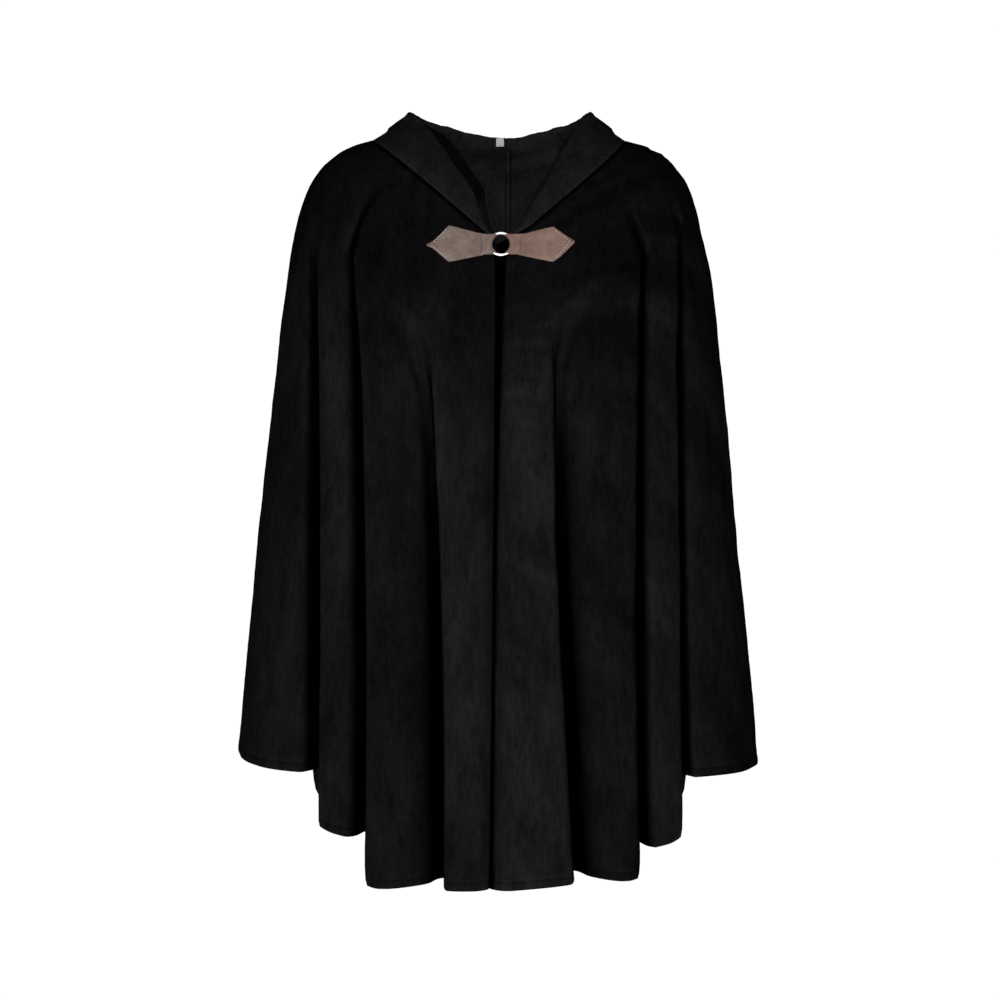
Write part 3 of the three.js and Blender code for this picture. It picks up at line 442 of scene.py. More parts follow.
def mesh_object(name, points, faces, uv=None):
    """A smooth piece from points in millimetres and four-cornered faces, with its place in its mesh."""
    mesh = bpy.data.meshes.new(name)
    mesh.vertices.add(len(points))
    mesh.vertices.foreach_set("co", np.ascontiguousarray(points * 0.001, np.float32).ravel())
    mesh.loops.add(faces.size)
    mesh.loops.foreach_set("vertex_index", np.ascontiguousarray(faces, np.int32).ravel())
    mesh.polygons.add(len(faces))
    mesh.polygons.foreach_set("loop_start", np.arange(0, faces.size, 4, dtype=np.int32))
    mesh.polygons.foreach_set("use_smooth", np.ones(len(faces), bool))
    mesh.update(calc_edges=True)
    if uv is not None:
        layer = mesh.uv_layers.new(name="cloth")
        layer.data.foreach_set("uv", np.ascontiguousarray(uv[faces.ravel(), :2] * 0.001, np.float32).ravel())
        # A point attribute of the cloth's uneven tone with its painted light and shade, which the material multiplies
        # into the colour.
        tone_and_painted_light = mesh.attributes.new("tone_and_painted_light", "FLOAT", "POINT")
        tone_and_painted_light.data.foreach_set("value", np.ascontiguousarray(uv[:, 2], np.float32))
    piece = bpy.data.objects.new(name, mesh)
    bpy.context.scene.collection.objects.link(piece)
    return piece


def wall(grid, normals, thickness, uv=None, rim=3):
    """Points, faces and uv of a closed wall round a grid, with half-round rims.

    Its two faces lie half the thickness out and in. Round its border, point k of the rim is the border's
    point moved by half the thickness times (cosine along the normal, sine straight away from the grid).
    """
    half = np.broadcast_to(np.asarray(thickness, float) / 2, grid.shape[:2])[..., None]
    columns, rows = grid.shape[:2]
    number = np.arange(columns * rows).reshape(columns, rows)
    loop = np.concatenate([number[:-1, 0], number[-1, :-1], number[:0:-1, -1], number[0, :0:-1]])
    away = np.zeros_like(grid)
    away[:, 0] += unit(grid[:, 0] - grid[:, 1])
    away[:, -1] += unit(grid[:, -1] - grid[:, -2])
    away[0] += unit(grid[0] - grid[1])
    away[-1] += unit(grid[-1] - grid[-2])
    flat, normal, away = (a.reshape(-1, 3) for a in (grid, normals, unit(away)))
    size = half.reshape(-1, 1)
    points = [flat + normal * size, flat - normal * size]
    rings = [loop]
    for k in range(1, rim + 1):
        turn = math.pi * k / (rim + 1)
        rings.append(2 * len(flat) + (k - 1) * len(loop) + np.arange(len(loop)))
        points.append(flat[loop] + (normal[loop] * math.cos(turn) + away[loop] * math.sin(turn)) * size[loop])
    rings.append(loop + len(flat))
    a, b = number[:-1, :-1].ravel(), number[1:, :-1].ravel()
    c, d = number[1:, 1:].ravel(), number[:-1, 1:].ravel()
    faces = [np.column_stack([a, b, c, d]), np.column_stack([a, d, c, b]) + len(flat)]
    for upper, lower in zip(rings, rings[1:]):
        faces.append(np.column_stack([np.roll(upper, -1), upper, lower, np.roll(lower, -1)]))
    if uv is not None:
        uv = uv.reshape(-1, 4)
        uv = np.concatenate([uv[:, :3], uv[:, [0, 1, 3]]] + [uv[loop, :3]] * rim)
    return np.concatenate(points), np.concatenate(faces), uv


def tube(path, radius, sides, closed):
    """Points and faces of a round tube along a path in millimetres, with open ends where it isn't closed.

    Each section is the path's point plus radius times (cosine, sine) in the plane square to the path.
    """
    along = np.roll(path, -1, 0) - np.roll(path, 1, 0) if closed else np.gradient(path, axis=0)
    along = unit(along)
    helper = np.where(np.abs(along[:, 2:3]) < 0.9, [[0, 0, 1.0]], [[1.0, 0, 0]])
    side = unit(np.cross(along, helper))
    other = np.cross(along, side)
    turn = np.linspace(0, 2 * math.pi, sides, endpoint=False)
    radius = np.broadcast_to(radius, (len(path),))[:, None, None]
    ringed = side[:, None] * np.cos(turn)[None, :, None] + other[:, None] * np.sin(turn)[None, :, None]
    points = (path[:, None] + ringed * radius).reshape(-1, 3)
    number = np.arange(len(path) * sides).reshape(len(path), sides)
    if closed:
        number = np.concatenate([number, number[:1]])
    a, b = number[:-1], np.roll(number[:-1], -1, 1)
    c, d = np.roll(number[1:], -1, 1), number[1:]
    return points, np.stack([a, b, c, d], -1).reshape(-1, 4)


# The cloth round the body

def body_runs():
    """Shares of the way down: even steps, and closer ones round the hem's row of stitches."""
    stitches = 1 - HEM_DEPTH / 640
    near = np.array([-0.006, -0.003, -0.0015, 0, 0.0015, 0.003, 0.006]) + stitches
    return np.concatenate([[0, 0.0015, 0.004], np.linspace(0.009, 0.978, 146), near, [0.997, 1.0]])


def drape(grid, normals, u, v, calm):
    """The grid moved along its normals by the cloth's small unevenness, in millimetres.

    It is the sum of four ripples, each with its own width, height and amount: long upright swells,
    shorter ones, crumples a finger wide, and the pile's own lumps. calm is 1 where the cloth has room.
    """
    lift = (1.5 * ripple(u / 46, v / 240, 1) + 0.7 * ripple(u / 21, v / 90, 2)) * calm
    lift += (0.42 * ripple(u / 9, v / 26, 3) + 0.16 * ripple(u / 3.1, v / 4.3, 4)) * (0.3 + 0.7 * calm)
    return grid + normals * lift[..., None]


def make_body():
    """The four panels as points, faces and uv, cut from one grid at the seams."""
    columns = body_columns()
    runs = body_runs()
    rings = [body_ring(run, columns) for run in runs]
    grid = np.stack([ring[0] for ring in rings], 1)
    around = np.stack([ring[1] for ring in rings], 1)
    drop = np.stack([ring[2] for ring in rings], 1)
    from_edge = np.stack([ring[3] for ring in rings], 1)
    painted_shading = np.stack([ring[4] for ring in rings], 1)
    from_seam = np.stack([ring[5] for ring in rings], 1)
    down = np.concatenate([np.zeros((len(grid), 1)),
                           np.cumsum(np.linalg.norm(np.diff(grid, axis=1), axis=2), 1)], 1)
    to_hem = down[:, -1:] - down
    normals = grid_normals(grid)
    calm = smooth(1 - drop / 16) * smooth(down / 30) * smooth(from_edge / 12)
    grid = drape(grid, normals, around, down, calm)
    facing = np.exp(-((from_edge - FACING_WIDTH) / 0.8) ** 2) * smooth((down - 60) / 60)
    hem = np.exp(-((to_hem - HEM_DEPTH) / 1.1) ** 2)
    grid = grid - normals * (0.45 * facing + 0.4 * hem)[..., None]
    normals = grid_normals(grid)
    double = np.maximum(smooth((FACING_WIDTH - from_edge) / 1.5) * smooth((down - 40) / 40),
                        smooth((HEM_DEPTH - to_hem) / 1.5))
    pressed = 1.3 * smooth((ALLOWANCE - from_seam) / 0.8)
    thickness = CLOTH + 0.7 * double * smooth(1 - drop / 10) + pressed
    grid = grid - normals * (pressed / 2)[..., None]
    # Painted shade: the colour is darker where the cloth faces up.
    painted_shade_facing_up = 1 - PAINTED_SHADE_ON_SLOPES * smooth(normals[..., 2] / 0.28)
    # Painted shade: the colour is near black in the first millimetres below the neck seam, under the hood's foot.
    tone_and_painted_light = painted_shading * painted_shade_facing_up * mix(0.12, 1, smooth((down - 1.5) / 4))
    tone_and_painted_light = tone_and_painted_light * (1 + 0.2 * ripple(around / 40, down / 130, 61) + 0.13 * ripple(around / 11, down / 55, 62))
    # Painted shadow: the cloth in front is darker within about 17 mm of the clasp's middle.
    clasp = np.hypot(grid[..., 0] - CLASP["x"], grid[..., 2] - CLASP["z"])
    tone_and_painted_light = tone_and_painted_light * np.where(grid[..., 1] < 0, mix(0.3, 1, smooth((clasp - 8) / 9)), 1)
    # Painted light: the inner side's colour factor is three, lighter still on the pressed seam allowance at the centre
    # back (painted highlight) and darker just past its edge (painted shadow).
    inner = 1 + 0.3 * smooth((ALLOWANCE - from_seam) / 0.8) - 0.7 * np.exp(-((from_seam - ALLOWANCE - 0.9) / 0.9) ** 2)
    uv = np.stack([around, down, tone_and_painted_light, PAINTED_LIGHT_INSIDE * inner], -1)
    panels = {}
    for name, (first, last) in PANELS.items():
        inside = (columns[:, 0] >= first) & (columns[:, 0] < last)
        panels[name] = wall(grid[inside], normals[inside], thickness[inside], uv[inside])
    return panels


# The hood

HOOD_AROUND = np.concatenate([np.linspace(0, 0.5, 44)[:-1], np.linspace(0.5, 0.6, 26)[:-1],
                              np.linspace(0.6, 1, 52)])


def at_row(table, around):
    """The other columns of a table at places round the hood, held at its first and last row."""
    return curve_through(table, np.clip(around, table[0, 0], table[-1, 0]))


def turned_in(foot, top, rising, out, rounding, around, side):
    """The front of the hood, where its edge is turned in, as the same 20 points of each section.

    It rises on the outside, goes round a bend of radius r from 90 degrees to -35, and ends in a strip that
    runs inwards and back. The left strip is wide and its bend sharp, and the right bend is a soft roll.
    """
    r, wide = (1.7, 23) if side < 0 else (4.5, 8)
    heart = top - rising * r
    points = [mix(foot, heart + out * r, s) + out * (rounding * math.sin(s * math.pi))[:, None]
              for s in HOOD_RISE]
    for degrees in np.linspace(90, -35, 5):
        turn = math.radians(degrees)
        points.append(heart + rising * (r * math.cos(turn)) + out * (r * math.sin(turn)))
    away = unit(np.array([-side * 0.8, 0.5, -0.25]))
    length = mix(3, wide, smooth((around - 0.06) / 0.14))[:, None]
    last = points[-1]
    return points + [last + away * length * k / 11 for k in range(1, 12)]


def hood_points(around, side):
    """The sections of one half of the hood, from the neck seam to the edge round the face.

    Each has 20 points with set parts: four on the way up, five round the bend, four down, four round the
    turn and three up. Past the side of the neck the rolled edge gives way to the pouch, by a smooth step.
    """
    ring = RINGS[0, 1:]
    edge, middle = angle_at(ring, side * 7, False), math.pi / 2 * (2 + side)
    back = angle_at(ring, side * HOOD[-1, 1], True)
    angle = np.where(around < 0.5, mix(edge, middle, around * 2), mix(middle, back, around * 2 - 1))
    foot = body_point(angle, np.zeros_like(angle))
    foot[:, :2] *= 1 - HOOD_INSET / np.linalg.norm(foot[:, :2], axis=1, keepdims=True)
    foot[:, 2] += HOOD_ABOVE
    row = at_row(HOOD, around)
    top = row[:, 3:6] * [1, -1, 1] if side > 0 else row[:, 0:3] * [-1, -1, 1]
    rising = unit(top - foot)
    tall = np.linalg.norm(top - foot, axis=1)
    radius = np.where(around < 0.5, HOOD_TURN * np.minimum(1, 0.5 + tall / 70), HOOD_TURN)
    out = body_normal(angle, np.full_like(angle, 0.02))
    out = unit(out - rising * np.sum(out * rising, 1, keepdims=True))
    heart = top - rising * radius[:, None]

    def moved(point, up, away):
        return point + rising * np.reshape(up, (-1, 1)) + out * np.reshape(away, (-1, 1))

    start = moved(heart, np.zeros_like(radius), -radius)
    rounding = HOOD_ROUNDING * np.minimum(1, tall / 40) * smooth(2 - 4 * around)
    points = [moved(mix(foot, start, s), np.zeros_like(tall), rounding * math.sin(s * math.pi))
              for s in HOOD_RISE]
    for share in (0, 0.25, 0.5, 0.75, 1):
        turn = np.radians(mix(-90, row[:, 6], share))
        points.append(moved(heart, radius * np.cos(turn), radius * np.sin(turn)))

    roll = at_row(ROLL, around)
    place, heading, rolled = points[-1], np.radians(90 - row[:, 6]), []
    for length, steps, degrees in ((roll[:, 0], 4, 0), (roll[:, 1], 4, roll[:, 3]), (roll[:, 2], 3, 0)):
        for _ in range(steps):
            turn = np.radians(degrees / steps)
            heading = heading + turn / 2
            place = moved(place, -np.cos(heading) * length / steps, np.sin(heading) * length / steps)
            heading = heading + turn / 2
            rolled.append(place)

    fall, towards, deep, rim_x, rim_y, rim_z = at_row(POUCH, around).T
    off = mix(HOOD_OFF_SHOULDER, HOOD_OFF_BODY, smooth((around - 0.5) / 0.25))
    swag = HOOD_SWAG * smooth(fall / 0.2)

    def hang(share, away):
        toward, run = mix(angle, math.pi, towards * share), fall * share
        return body_point(toward, run) + body_normal(toward, run) * (off + away)[:, None]

    hung = [hang(0.12, 0 * deep), hang(0.36, 0 * deep), hang(0.68, 0 * deep), hang(0.95, 0 * deep),
            hang(1.03, deep * 0.18), hang(1.06, deep * 0.5), hang(1.03, deep * 0.82), hang(0.93, deep),
            hang(0.66, deep + swag * 0.6), hang(0.35, deep - swag * 0.8),
            np.stack([side * rim_x, -rim_y, rim_z], -1)]
    share = smooth((around - 0.54) / 0.11)[:, None]
    points += [mix(a, b, share) for a, b in zip(rolled, hung)]
    plain = 1 - smooth(around / HOOD_PLAIN)[:, None]
    inwards = 1 - smooth((around - 0.40) / 0.09)[:, None]
    points = [mix(a, b, inwards) for a, b in zip(points, turned_in(foot, top, rising, out, rounding, around, side))]
    for k, point in enumerate(points):
        straight = foot + rising * ((tall + 3) * k / (len(points) - 1))[:, None]
        points[k] = mix(point, straight, plain)
    points = np.stack(points, 1)
    wide = np.abs(points[..., 0]) - (98 if side > 0 else 95)
    over = np.maximum(points[..., 2] - 35 + 0.6 * wide, 0) * smooth(wide / 6 + 0.5)
    points[..., 2] -= 0.9 * over
    points[..., 0] += CENTRE_BACK_X * smooth(around * 2 - 1)[:, None]
    return points


def fine_rows(points, each):
    """Each section's points joined by a smooth curve, with a number of steps between neighbours.

    The curve is a cubic whose slopes come from three points in a row, weighted by the square roots of
    the distances between them, which keeps it from swinging out at sharp turns.
    """
    ends = [2 * points[:, :1] - points[:, 1:2], points, 2 * points[:, -1:] - points[:, -2:-1]]
    p = np.concatenate(ends, 1)
    d = np.maximum(np.sqrt(np.linalg.norm(np.diff(p, axis=1), axis=2, keepdims=True)), 1e-3)
    p0, p1, p2, p3 = p[:, :-3], p[:, 1:-2], p[:, 2:-1], p[:, 3:]
    d0, d1, d2 = d[:, :-2], d[:, 1:-1], d[:, 2:]
    m1 = d1 * ((p1 - p0) / d0 - (p2 - p0) / (d0 + d1) + (p2 - p1) / d1)
    m2 = d1 * ((p2 - p1) / d1 - (p3 - p1) / (d1 + d2) + (p3 - p2) / d2)
    rows = []
    for t in np.arange(each) / each:
        rows.append((2 * t ** 3 - 3 * t ** 2 + 1) * p1 + (t ** 3 - 2 * t ** 2 + t) * m1
                    + (3 * t ** 2 - 2 * t ** 3) * p2 + (t ** 3 - t ** 2) * m2)
    fine = np.stack(rows, 2).reshape(len(points), -1, 3)
    return np.concatenate([fine, points[:, -1:]], 1)


def eased(grid, times):
    """The grid with each inner point moved a quarter of the way to the middle of its neighbours, each way."""
    for _ in range(times):
        grid = grid.copy()
        grid[1:-1] = grid[1:-1] / 2 + (grid[:-2] + grid[2:]) / 4
        grid[:, 1:-1] = grid[:, 1:-1] / 2 + (grid[:, :-2] + grid[:, 2:]) / 4
    return grid


def make_hood(side):
    """One half of the hood as points, faces and uv."""
    grid = eased(fine_rows(hood_points(HOOD_AROUND, side), 6), 3)
    # Painted light and shade on the hood: its colour is lighter overall, and darker on the strip turned in at its
    # front, much darker on the left than on the right.
    strip = smooth(np.arange(grid.shape[1]) / 6 - 7.6) * (1 - smooth((HOOD_AROUND[:, None] - 0.42) / 0.07))
    tone_and_painted_light = PAINTED_LIGHT_ON_HOOD * mix(1, 0.4 if side < 0 else 0.8, strip)
    # Painted light on the hood's inner side: from the hood's own factor at the front to a lighter one past the side of
    # the neck.
    inner = mix(PAINTED_LIGHT_ON_HOOD, PAINTED_LIGHT_INSIDE * 0.62, smooth((HOOD_AROUND - 0.55) / 0.12))[:, None] + 0 * tone_and_painted_light
    if side > 0:
        grid, tone_and_painted_light, inner = grid[::-1], tone_and_painted_light[::-1], inner[::-1]
    grid, tone_and_painted_light, inner = grid[:, ::-1], tone_and_painted_light[:, ::-1], inner[:, ::-1]
    steps = np.linalg.norm(np.diff(grid, axis=0), axis=2).mean(1)
    u = np.broadcast_to(np.concatenate([[0], np.cumsum(steps)])[:, None], grid.shape[:2])
    v = np.concatenate([np.zeros((len(grid), 1)),
                        np.cumsum(np.linalg.norm(np.diff(grid, axis=1), axis=2), 1)], 1)
    long = smooth((v[:, -1:] - 60) / 120)
    room = smooth(v / 25) * smooth((v[:, -1:] - v) / 25)
    lift = (0.8 * ripple(u / 34, v / 60, 11 + side) * long + 0.35 * ripple(u / 11, v / 15, 12 + side)) * room
    lift = lift + 0.12 * ripple(u / 3.3, v / 4.1, 13 + side)
    grid = grid + grid_normals(grid) * lift[..., None]
    rim = np.exp(-((v - 14) / 1.0) ** 2) * long
    normals = grid_normals(grid)
    grid = grid - normals * (0.5 * rim)[..., None]
    thickness = CLOTH + 0.6 * smooth((14 - v) / 1.5) * long
    # Painted highlight: a lighter line on the hood about 1.5 mm up from the neck seam.
    tone_and_painted_light = tone_and_painted_light * (1 + 0.4 * np.exp(-((v[:, -1:] - v - 1.5) / 1.3) ** 2))
    number = np.arange(len(grid))
    from_centre = (number if side > 0 else number[::-1])[:, None]
    grid[..., 0] += (CENTRE_BACK_X + side * HOOD[-1, 1] - grid[0 if side > 0 else -1, :, 0]) * smooth(1 - from_centre / 9)
    return wall(grid, grid_normals(grid), thickness, np.stack([u, v, tone_and_painted_light, inner], -1))


# The clasp

def on_clasp(points):
    """Points of the clasp's own upright frame, sloped as the clasp is and moved to its middle."""
    low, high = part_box("clasp_ring")
    middle = (np.array(low) + np.array(high)) / 2 * 1000
    turn = CLASP["tilt"]
    x, y, z = points[..., 0], points[..., 1], points[..., 2]
    sloped = [x, y * math.cos(turn) + z * math.sin(turn), z * math.cos(turn) - y * math.sin(turn)]
    return np.stack(sloped, -1) + middle


def ring_path():
    """The ring's middle line: a circle round the frame's Y axis."""
    turn = np.linspace(0, 2 * math.pi, 120, endpoint=False)
    return np.stack([RING_RADIUS * np.cos(turn), 0 * turn, RING_RADIUS * np.sin(turn)], -1)


def loop_grid(side):
    """A strap folded round the ring's wire: across its path (from behind, round, to the front) and up.

    The fold is part of a circle of radius 2.35 round the wire, whose middle is at the square root of
    (ring radius squared - height squared). From it both layers run out to the tab.
    """
    up = np.linspace(-1, 1, 40)
    height = LOOP_HALF * up * 1.02
    wire = -np.sqrt(RING_RADIUS ** 2 - height ** 2)
    turns = np.radians(np.linspace(125, -125, 34))
    t = np.linspace(0, 1, 16)[1:]
    x = [wire + 2.35 * math.cos(a) for a in turns]
    y = [np.full_like(height, 2.35 * math.sin(a)) for a in turns]
    tail = -18.25
    ax, ay = x[0], 2.35 * math.sin(turns[0])
    for s in t:
        x.append(mix(ax, tail, s))
        y.append(np.full_like(height, -mix(ay, 0.8, float(smooth(s * 1.5)))))
        x.insert(0, mix(ax, tail, s))
        y.insert(0, np.full_like(height, mix(ay, 0.8, float(smooth(s * 1.5)))))
    x, y = np.stack(x), np.stack(y)
    z = np.broadcast_to(height * (1 + 0.05 * np.clip((-x - 9) / 9, 0, 1)), x.shape)
    y = y * (1 - 0.06 * ripple(x / 3 + 5, z / 4, 30 + side))
    grid = np.stack([x, y, z], -1)
    if side > 0:
        grid[..., 0] *= -1
        grid = grid[::-1]
    return grid


def tab_grid(table, side, behind):
    """A tab as a grid from its tip to the loop and from its lower to its upper edge, on the cloth.

    Its outline is straight between the table's rows. It lies on the second-degree surface that fits the
    cloth's front best, moved forward until no cloth is in front of it. The end next to the loop lifts to
    the clasp's own slope by a smooth step.
    """
    out = np.linspace(table[0, 0], table[-1, 0], 70)
    out[np.argmin(np.abs(out[:, None] - table[:, 0]), 0)] = table[:, 0]
    low, high = np.interp(out, table[:, 0], table[:, 1]), np.interp(out, table[:, 0], table[:, 2])
    share = np.linspace(0, 1, 26)
    up = mix(low[:, None], high[:, None], share)
    x = CLASP["x"] + side * np.broadcast_to(out[:, None], up.shape)
    few_out, few_shares = np.linspace(out[0], out[-1], 22), np.linspace(0, 1, 9)
    few_low, few_high = (np.interp(few_out, table[:, 0], table[:, k]) for k in (1, 2))
    cloth = np.array([[behind(CLASP["x"] + side * o, CLASP["z"] + mix(a, b, s)) for s in few_shares]
                      for o, a, b in zip(few_out, few_low, few_high)])
    o, s = np.broadcast_arrays(few_out[:, None] / 70, few_shares)
    terms = np.stack([o * 0 + 1, o, s, o * o, o * s, s * s], -1)
    weights = np.linalg.lstsq(terms.reshape(-1, 6), cloth.ravel(), rcond=None)[0]
    forward = np.max(terms @ weights - cloth)
    o, s = np.broadcast_arrays(out[:, None] / 70, share)
    y = np.stack([o * 0 + 1, o, s, o * o, o * s, s * s], -1) @ weights - forward - OFF_CLOTH - LEATHER / 2
    sloped = on_clasp(np.zeros(3))[1] + math.tan(CLASP["tilt"]) * up
    y = mix(sloped, y, smooth((out - out[0]) / 7.5)[:, None])
    edge = np.minimum(share, 1 - share) * (high - low)[:, None]
    y = y + 0.35 * np.exp(-(edge / 1.6) ** 2) + 0.1 * ripple(x / 6, up / 5, 40 + side)
    grid = np.stack([x, y, CLASP["z"] + up], -1)
    return grid if side < 0 else grid[::-1]


def thread(places, directions, length, radius):
    """Short rounded stitches: small capsules of six rings and six sides, at places and along directions."""
    t = np.array([-1, -0.9, -0.5, 0.5, 0.9, 1])
    size = np.array([0.05, 0.6, 1, 1, 0.6, 0.05])
    points, faces, count = [], [], 0
    for place, direction in zip(places, directions):
        path = place + direction * (t * length / 2)[:, None]
        path[:, 1] -= (1 - t * t) * radius * 0.7
        p, f = tube(path, radius * size, 6, False)
        points.append(p)
        faces.append(f + count)
        count += len(p)
    return np.concatenate(points), np.concatenate(faces)


def row_of_stitches(a, b, pitch, surface):
    """Places and directions of stitches from a to b in x and z, each lying on surface(x, z)."""
    count = max(1, int(round(np.linalg.norm(b - a) / pitch)))
    s = (np.arange(count) + 0.5) / count
    flat = a + (b - a) * s[:, None]
    ahead = (b - a) / np.linalg.norm(b - a)
    y = np.array([surface(x, z) for x, z in flat])
    beyond = np.array([surface(x, z) for x, z in flat + ahead * 0.5])
    places = np.column_stack([flat[:, 0], y, flat[:, 1]])
    directions = unit(np.column_stack([np.full(count, ahead[0]), (beyond - y) / 0.5, np.full(count, ahead[1])]))
    return places, directions


# Materials

def new_material(name):
    """An empty material with its shader and output."""
    material = bpy.data.materials.new(name)
    material.use_nodes = True
    tree = material.node_tree
    return material, tree, tree.nodes["Principled BSDF"]


def node(tree, kind, values=None, **facts):
    """Adds a node, sets its facts and its unlinked inputs by name or number."""
    made = tree.nodes.new(kind)
    for key, value in facts.items():
        setattr(made, key, value)
    for key, value in (values or {}).items():
        made.inputs[key].default_value = value
    return made


def fibre_group():
    """Shared by every cloth and leather: lumps, grain and fibres at three sizes.

    Tone is a share from 0 to 1 made of the lumps and the grain. Height is the grain and the fibres.
    """
    group = bpy.data.node_groups.new("lumps_grain_and_fibres", "ShaderNodeTree")
    face = group.interface
    for label, kind, value in (("Place", "NodeSocketVector", None), ("Lump scale", "NodeSocketFloat", 40.0),
                               ("Grain scale", "NodeSocketFloat", 300.0),
                               ("Fibre scale", "NodeSocketFloat", 1500.0),
                               ("Grain share", "NodeSocketFloat", 0.4)):
        socket = face.new_socket(label, in_out="INPUT", socket_type=kind)
        if value is not None:
            socket.default_value = value
    for label in ("Tone", "Height"):
        face.new_socket(label, in_out="OUTPUT", socket_type="NodeSocketFloat")
    start, end = node(group, "NodeGroupInput"), node(group, "NodeGroupOutput")
    noises = []
    for label, detail, rough in (("Lump scale", 5.0, 0.62), ("Grain scale", 4.0, 0.6), ("Fibre scale", 2.0, 0.5)):
        noise = node(group, "ShaderNodeTexNoise", {"Detail": detail, "Roughness": rough})
        group.links.new(start.outputs["Place"], noise.inputs["Vector"])
        group.links.new(start.outputs[label], noise.inputs["Scale"])
        noises.append(noise)
    blend = node(group, "ShaderNodeMix", data_type="FLOAT")
    group.links.new(start.outputs["Grain share"], blend.inputs[0])
    group.links.new(noises[0].outputs[0], blend.inputs[2])
    group.links.new(noises[1].outputs[0], blend.inputs[3])
    spread = node(group, "ShaderNodeMapRange", {"From Min": 0.34, "From Max": 0.66})
    group.links.new(blend.outputs[0], spread.inputs["Value"])
    height = node(group, "ShaderNodeMix", {0: 0.45}, data_type="FLOAT")
    group.links.new(noises[1].outputs[0], height.inputs[2])
    group.links.new(noises[2].outputs[0], height.inputs[3])
    group.links.new(spread.outputs[0], end.inputs["Tone"])
    group.links.new(height.outputs[0], end.inputs["Height"])
    return group


def surface_material(name, group, dark, light, scales, shader, relief, stretch=(1, 1, 1), with_painted_light=False):
    """A material whose colour runs from dark to light by the group's tone, with its height as relief.

    scales: lump, grain and fibre scale and the grain's share. relief: bump strength and depth in metres.
    """
    material, tree, principled = new_material(name)
    for key, value in shader.items():
        principled.inputs[key].default_value = value
    place = node(tree, "ShaderNodeTexCoord")
    mapping = node(tree, "ShaderNodeMapping", {"Scale": stretch})
    tree.links.new(place.outputs["Object"], mapping.inputs["Vector"])
    cloth = node(tree, "ShaderNodeGroup", node_tree=group)
    for label, value in zip(("Lump scale", "Grain scale", "Fibre scale", "Grain share"), scales):
        cloth.inputs[label].default_value = value
    tree.links.new(mapping.outputs[0], cloth.inputs["Place"])
    ramp = node(tree, "ShaderNodeMix", data_type="RGBA")
    ramp.inputs[6].default_value = (*dark, 1)
    ramp.inputs[7].default_value = (*light, 1)
    tree.links.new(cloth.outputs["Tone"], ramp.inputs[0])
    # With painted light, the colour is multiplied by the piece's attribute of uneven tone with painted light and
    # shade.
    if with_painted_light:
        tone_and_painted_light = node(tree, "ShaderNodeAttribute", attribute_name="tone_and_painted_light")
        painted_shading = node(tree, "ShaderNodeVectorMath", operation="SCALE")
        tree.links.new(ramp.outputs[2], painted_shading.inputs[0])
        tree.links.new(tone_and_painted_light.outputs["Fac"], painted_shading.inputs["Scale"])
        tree.links.new(painted_shading.outputs[0], principled.inputs["Base Color"])
    else:
        tree.links.new(ramp.outputs[2], principled.inputs["Base Color"])
    bump = node(tree, "ShaderNodeBump", {"Strength": relief[0], "Distance": relief[1]})
    tree.links.new(cloth.outputs["Height"], bump.inputs["Height"])
    tree.links.new(bump.outputs[0], principled.inputs["Normal"])
    return material


def make_materials():
    """The finishes of the cape by name."""
    group = fibre_group()
    wool = surface_material(
        "napped_wool_with_painted_light", group, (0.0030, 0.0030, 0.0036), (0.0082, 0.0082, 0.0094), (60, 260, 1500, 0.5),
        {"Roughness": 1.0, "Specular IOR Level": 0.0},
        (0.6, 0.0006), stretch=(1, 1, 0.3), with_painted_light=True)
    leather_left = surface_material(
        "leather_left", group, (0.064, 0.045, 0.038), (0.160, 0.116, 0.098), (60, 420, 1400, 0.35),
        {"Roughness": 0.62, "Specular IOR Level": 0.3}, (0.35, 0.0004))
    leather_right = surface_material(
        "leather_right", group, (0.096, 0.055, 0.043), (0.188, 0.115, 0.091), (60, 420, 1400, 0.35),
        {"Roughness": 0.62, "Specular IOR Level": 0.3}, (0.35, 0.0004))
    steel = surface_material(
        "polished_steel", group, (0.62, 0.62, 0.61), (0.80, 0.80, 0.79), (500, 1800, 4000, 0.5),
        {"Metallic": 1.0, "Roughness": 0.28}, (0.08, 0.0001))
    label = surface_material(
        "woven_label", group, (0.30, 0.30, 0.31), (0.42, 0.42, 0.43), (300, 1500, 3000, 0.5),
        {"Roughness": 0.6, "Sheen Weight": 0.1}, (0.5, 0.0002), stretch=(1, 1, 3))
    pale = surface_material(
        "pale_thread", group, (0.22, 0.20, 0.19), (0.42, 0.40, 0.38), (900, 2500, 5000, 0.5),
        {"Roughness": 0.6}, (0.5, 0.0001))
    dark = surface_material(
        "dark_thread", group, (0.010, 0.009, 0.009), (0.03, 0.027, 0.026), (900, 2500, 5000, 0.5),
        {"Roughness": 0.7}, (0.5, 0.0001))
    return {"wool": wool, "left": leather_left, "right": leather_right, "steel": steel, "label": label,
            "pale": pale, "dark": dark}


def finish(piece, material, slot, *nodes):
    """The piece gets its material, rides on the body and stands for its solids. Its slot is not used."""
    piece.data.materials.append(material)
    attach(piece, "root")
    if nodes:
        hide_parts(*nodes)
    return piece


# Putting it together

def make_cape(finishes):
    """The cloth: four panels and two halves of a hood. Also gives what lies behind a place from the front."""
    walls = make_body()
    walls["hood_left"] = make_hood(-1)
    walls["hood_right"] = make_hood(1)
    cloth = {}
    for name, (points, faces, uv) in walls.items():
        cloth[name] = finish(mesh_object(f"{name}_cloth", points, faces, uv), finishes["wool"], "wool", name)
    trees = [BVHTree.FromPolygons(walls[name][0].tolist(), walls[name][1].tolist())
             for name in ("front_left", "front_right", "hood_left", "hood_right")]

    def behind(x, z):
        hits = [tree.ray_cast((x, -400, z), (0, 1, 0))[0] for tree in trees]
        return min(hit.y for hit in hits if hit is not None)

    return cloth, behind


